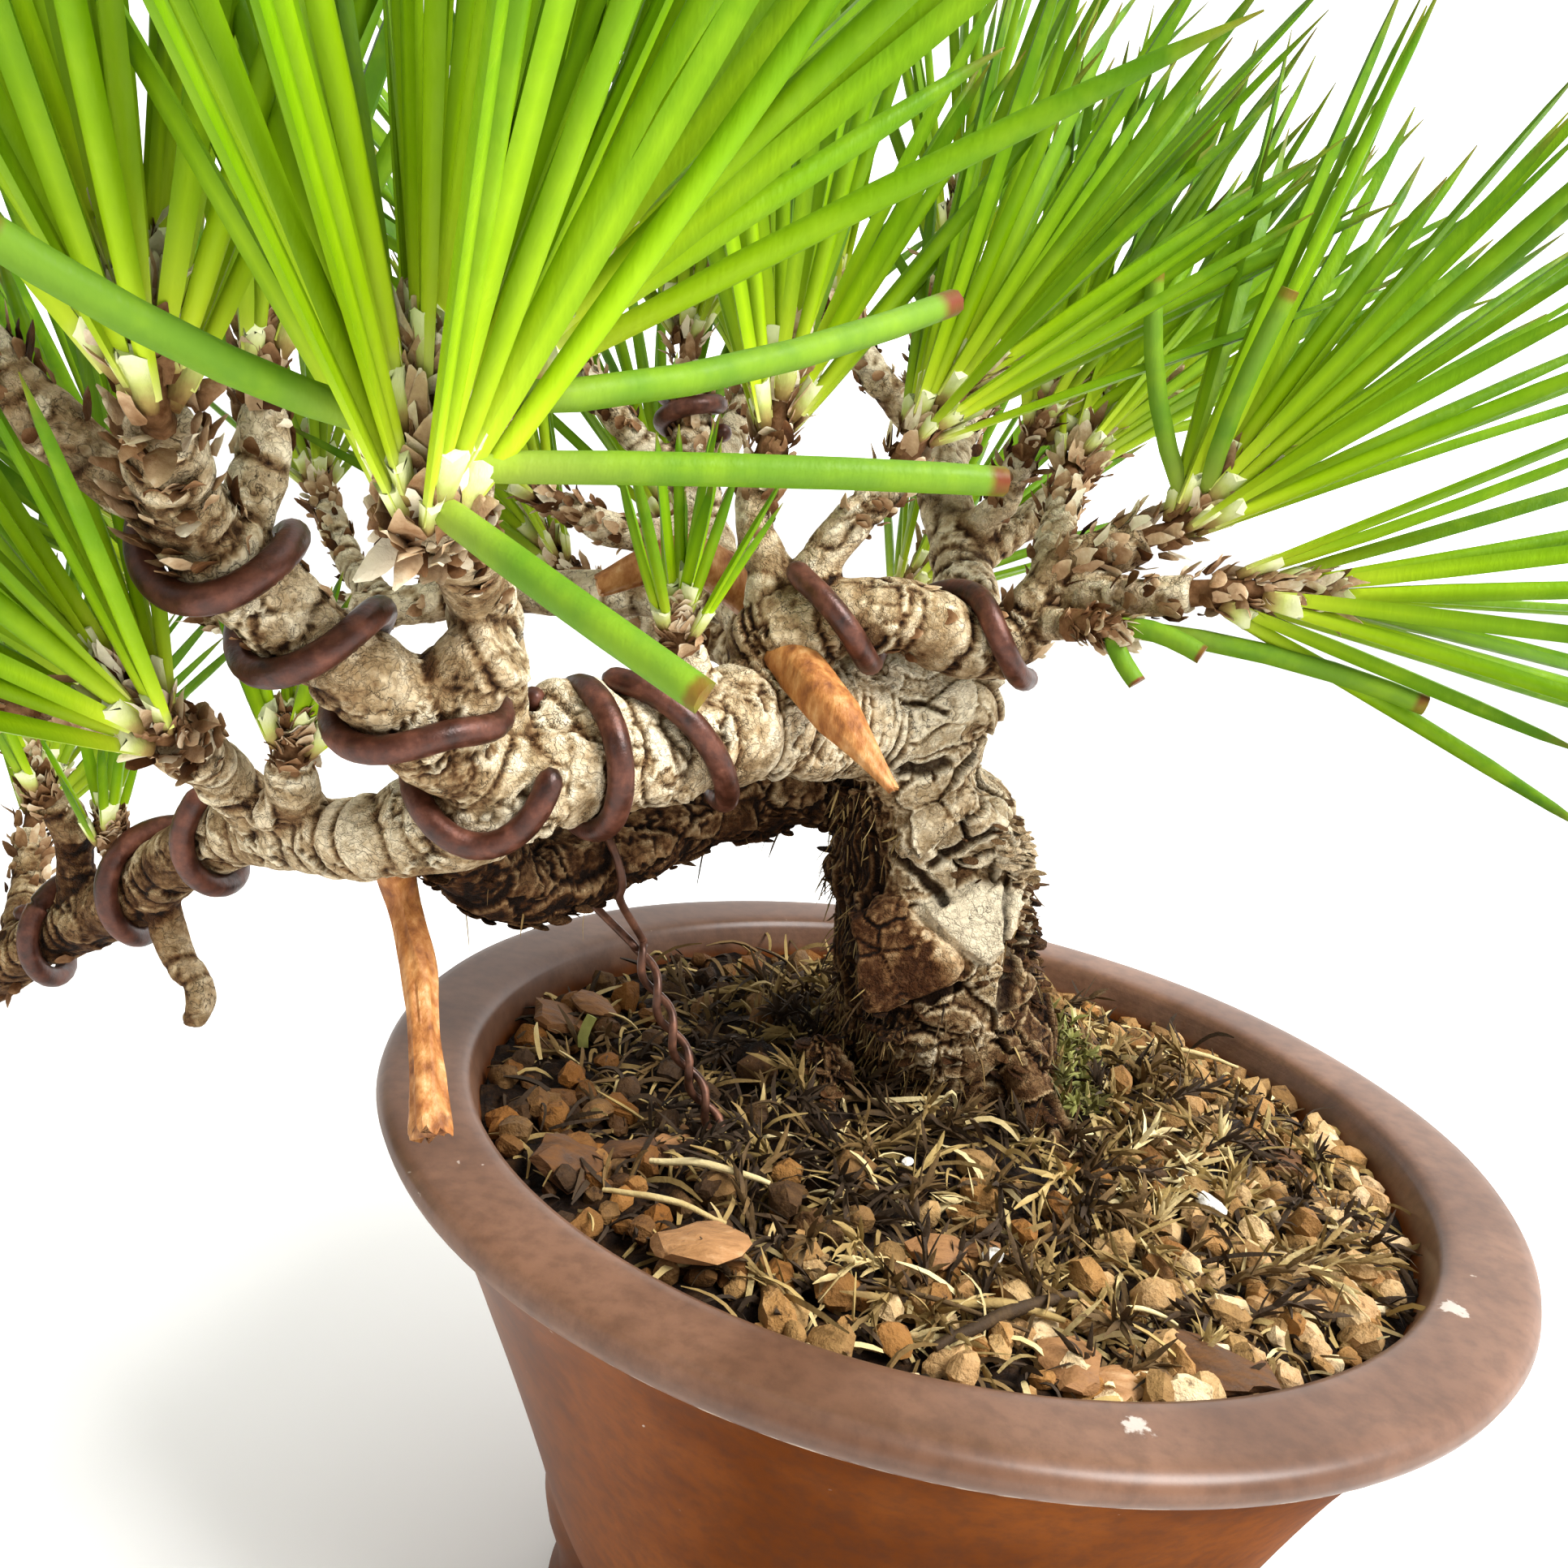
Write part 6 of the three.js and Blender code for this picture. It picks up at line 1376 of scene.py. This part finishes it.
def husks(draw, places, along, girth, sizes, tones):
    """Crumpled scales: each leaves its place at a slant to the shoot, curls and narrows to its tip,
    and noise pushes its corners about. Gives the shapes and each corner's tone."""
    many = len(places)
    out = unit(np.cross(along, directions(draw, many)))
    lean = draw.uniform(0.1, 0.75, (many, 1)) ** 1.3
    t = np.array([0, 0.3, 0.62, 0.86, 1])[:, None]
    curl = (out * draw.uniform(-0.25, 0.45, (many, 1)) + 0.25 * directions(draw, many))[:, None]
    shape = swing(along, out, lean)[:, None] * t + curl * t * t
    lines = (places + out * girth[:, None])[:, None] + sizes[:, None, None] * shape
    widths = draw.uniform(0.3, 0.62, (many, 1)) * np.array([0.7, 1, 0.85, 0.5, 0.12])
    blade = [(1, 0.28), (0, -0.06), (-1, 0.28), (0, 0.1)]
    points, faces = strands(lines, widths, blade, out[:, None])
    paler = np.repeat([0, 0, 0.08, 0.16, 0.24], len(blade))
    return (points + 0.16 * shoves(points, 0.55, 1), faces), (tones[:, None] + paler).ravel()


scale_shapes, tones = {"front": [], "rear": []}, {"front": [], "rear": []}
for name, (_, count, length, *_) in TUFTS.items():
    group = "rear" if name in REAR else "front"
    shoot = shoot_line(name, 9)
    twig, *_, girth = follow(*BRANCHES[name], np.linspace(0.35 if length > 16 else 0.8, 1, 12))
    stem = np.concatenate([twig[:-1], shoot])
    girth = np.append(0.9 * girth[:-1], np.linspace(0.9 * girth[-1], 0.55, 9))
    stem = evenly(np.column_stack([stem, girth]), 0.35)
    stem, girth = stem[:, :3], stem[:, 3]
    core = strands(stem[None], np.linspace(1.1, 0.5, len(stem))[None], circle(8), [0.3, 0.2, 1])
    many = (100 + 2 * count) * (2 if name == "front" else 1)
    at = ((len(stem) - 2) * draw.uniform(0, 1, many) ** 0.45).astype(int)
    sizes = draw.uniform(0.9, 2.5, many) * (1 if length > 16 else 0.7) * (0.45 + 0.55 * at / len(stem))
    shades = np.clip(draw.normal(0.34, 0.2, many) + 0.3 * (at / len(stem)) ** 2, 0.02, 1)
    shape, shade = husks(draw, stem[at], unit(stem[at + 1] - stem[at]), girth[at], sizes, shades)
    scale_shapes[group] += [core, shape]
    tones[group] += [np.full(len(stem) * 8, 0.3), shade]
for group, shapes in scale_shapes.items():
    points, faces = joined(shapes)
    piece(f"bud_scales_{group}", points, faces, husk, sharp=80,
          layers={"tone": np.concatenate(tones[group])})

# ---- Floor, light and camera -------------------------------------------------------------------
# A pale table in a white room, a soft lamp above and to the right, a weaker one at the left, and the
# camera where the photograph was taken from, close in front and a little above.

FLOOR_RADIUS, FLOOR_SIDES = 3000, 96
table = Finish("pale_table", {"Roughness": 0.9, "Base Color": (0.95, 0.95, 0.93, 1)})
rim = [about(FLOOR_RADIUS, whole_turn(FLOOR_SIDES), z) for z in (-20.0, 0.0)]
piece("floor", np.concatenate(rim), closed_grid(2, FLOOR_SIDES), table, sharp=30)


class Room(Finish):
    """The light that comes from all round, in the world's nodes in place of a material's."""

    def __init__(self, name, fixed):
        world = bpy.data.worlds.new(name)
        world.use_nodes = True
        bpy.context.scene.world = world
        self.start(world.node_tree, "Background", fixed)

    def glow(self, way, *spread):
        """Light that changes with how far a direction leans towards the way."""
        view = self.node("ShaderNodeTexCoord", {}, {}, "Generated")
        facing = self.node("ShaderNodeVectorMath", {"operation": "DOT_PRODUCT"}, {0: view, 1: way}, "Value")
        return self.span(facing, *spread)


# The room is brightest behind the tree and to the right, where its window is, and dimmer in front. A
# pale band runs all round, from a little above the horizon down.
room = Room("white_room", {"Color": (1, 0.995, 0.985, 1)})
backdrop = room.glow((0.25, 0.9, 0.35), -0.5, 0.3, 0.42, 1.0)
window = room.glow((0.85, 0.45, 0.3), 0.2, 0.95, 0, 1.1)
room.set("Strength", backdrop + window + room.glow((0, 0, 1), 0.3, 0.16, 0, 0.62))


def stand(name, data, right, up, back, place):
    """An object of the scene at a place in metres, with its own three axes along the directions."""
    made = bpy.data.objects.new(name, data)
    bpy.context.scene.collection.objects.link(made)
    made.matrix_world = Matrix(np.column_stack([right, up, back, place]).tolist()).to_4x4()
    return made


LIT_PLACE = (-0.015, -0.005, 0.06)      # what both lamps shine at, in metres
# Each lamp's place in metres, its power in watts and its width in metres.
LAMPS = {"key": ((0.3, -0.2, 0.5), 6.8, 0.3), "fill": ((-0.5, -0.35, 0.35), 0.7, 0.5)}
for name, (place, power, size) in LAMPS.items():
    lamp = bpy.data.lights.new(name, "AREA")
    lamp.energy, lamp.size = power, size
    back = unit(np.subtract(place, LIT_PLACE))
    right = unit(np.cross([0, 0, 1], back))
    stand(name, lamp, right, np.cross(back, right), back, place)

camera = bpy.data.cameras.new("camera")
camera.lens, camera.sensor_width, camera.clip_start = 32.64, 36, 0.005
bpy.context.scene.camera = stand("camera", camera, (0.98806, 0.03579, 0.14982), (-0.15404, 0.22955, 0.96103),
                                 (0.0, -0.97264, 0.23232), (-0.0150, -0.09636, 0.08944))
bpy.context.scene.view_settings.view_transform = "Standard"
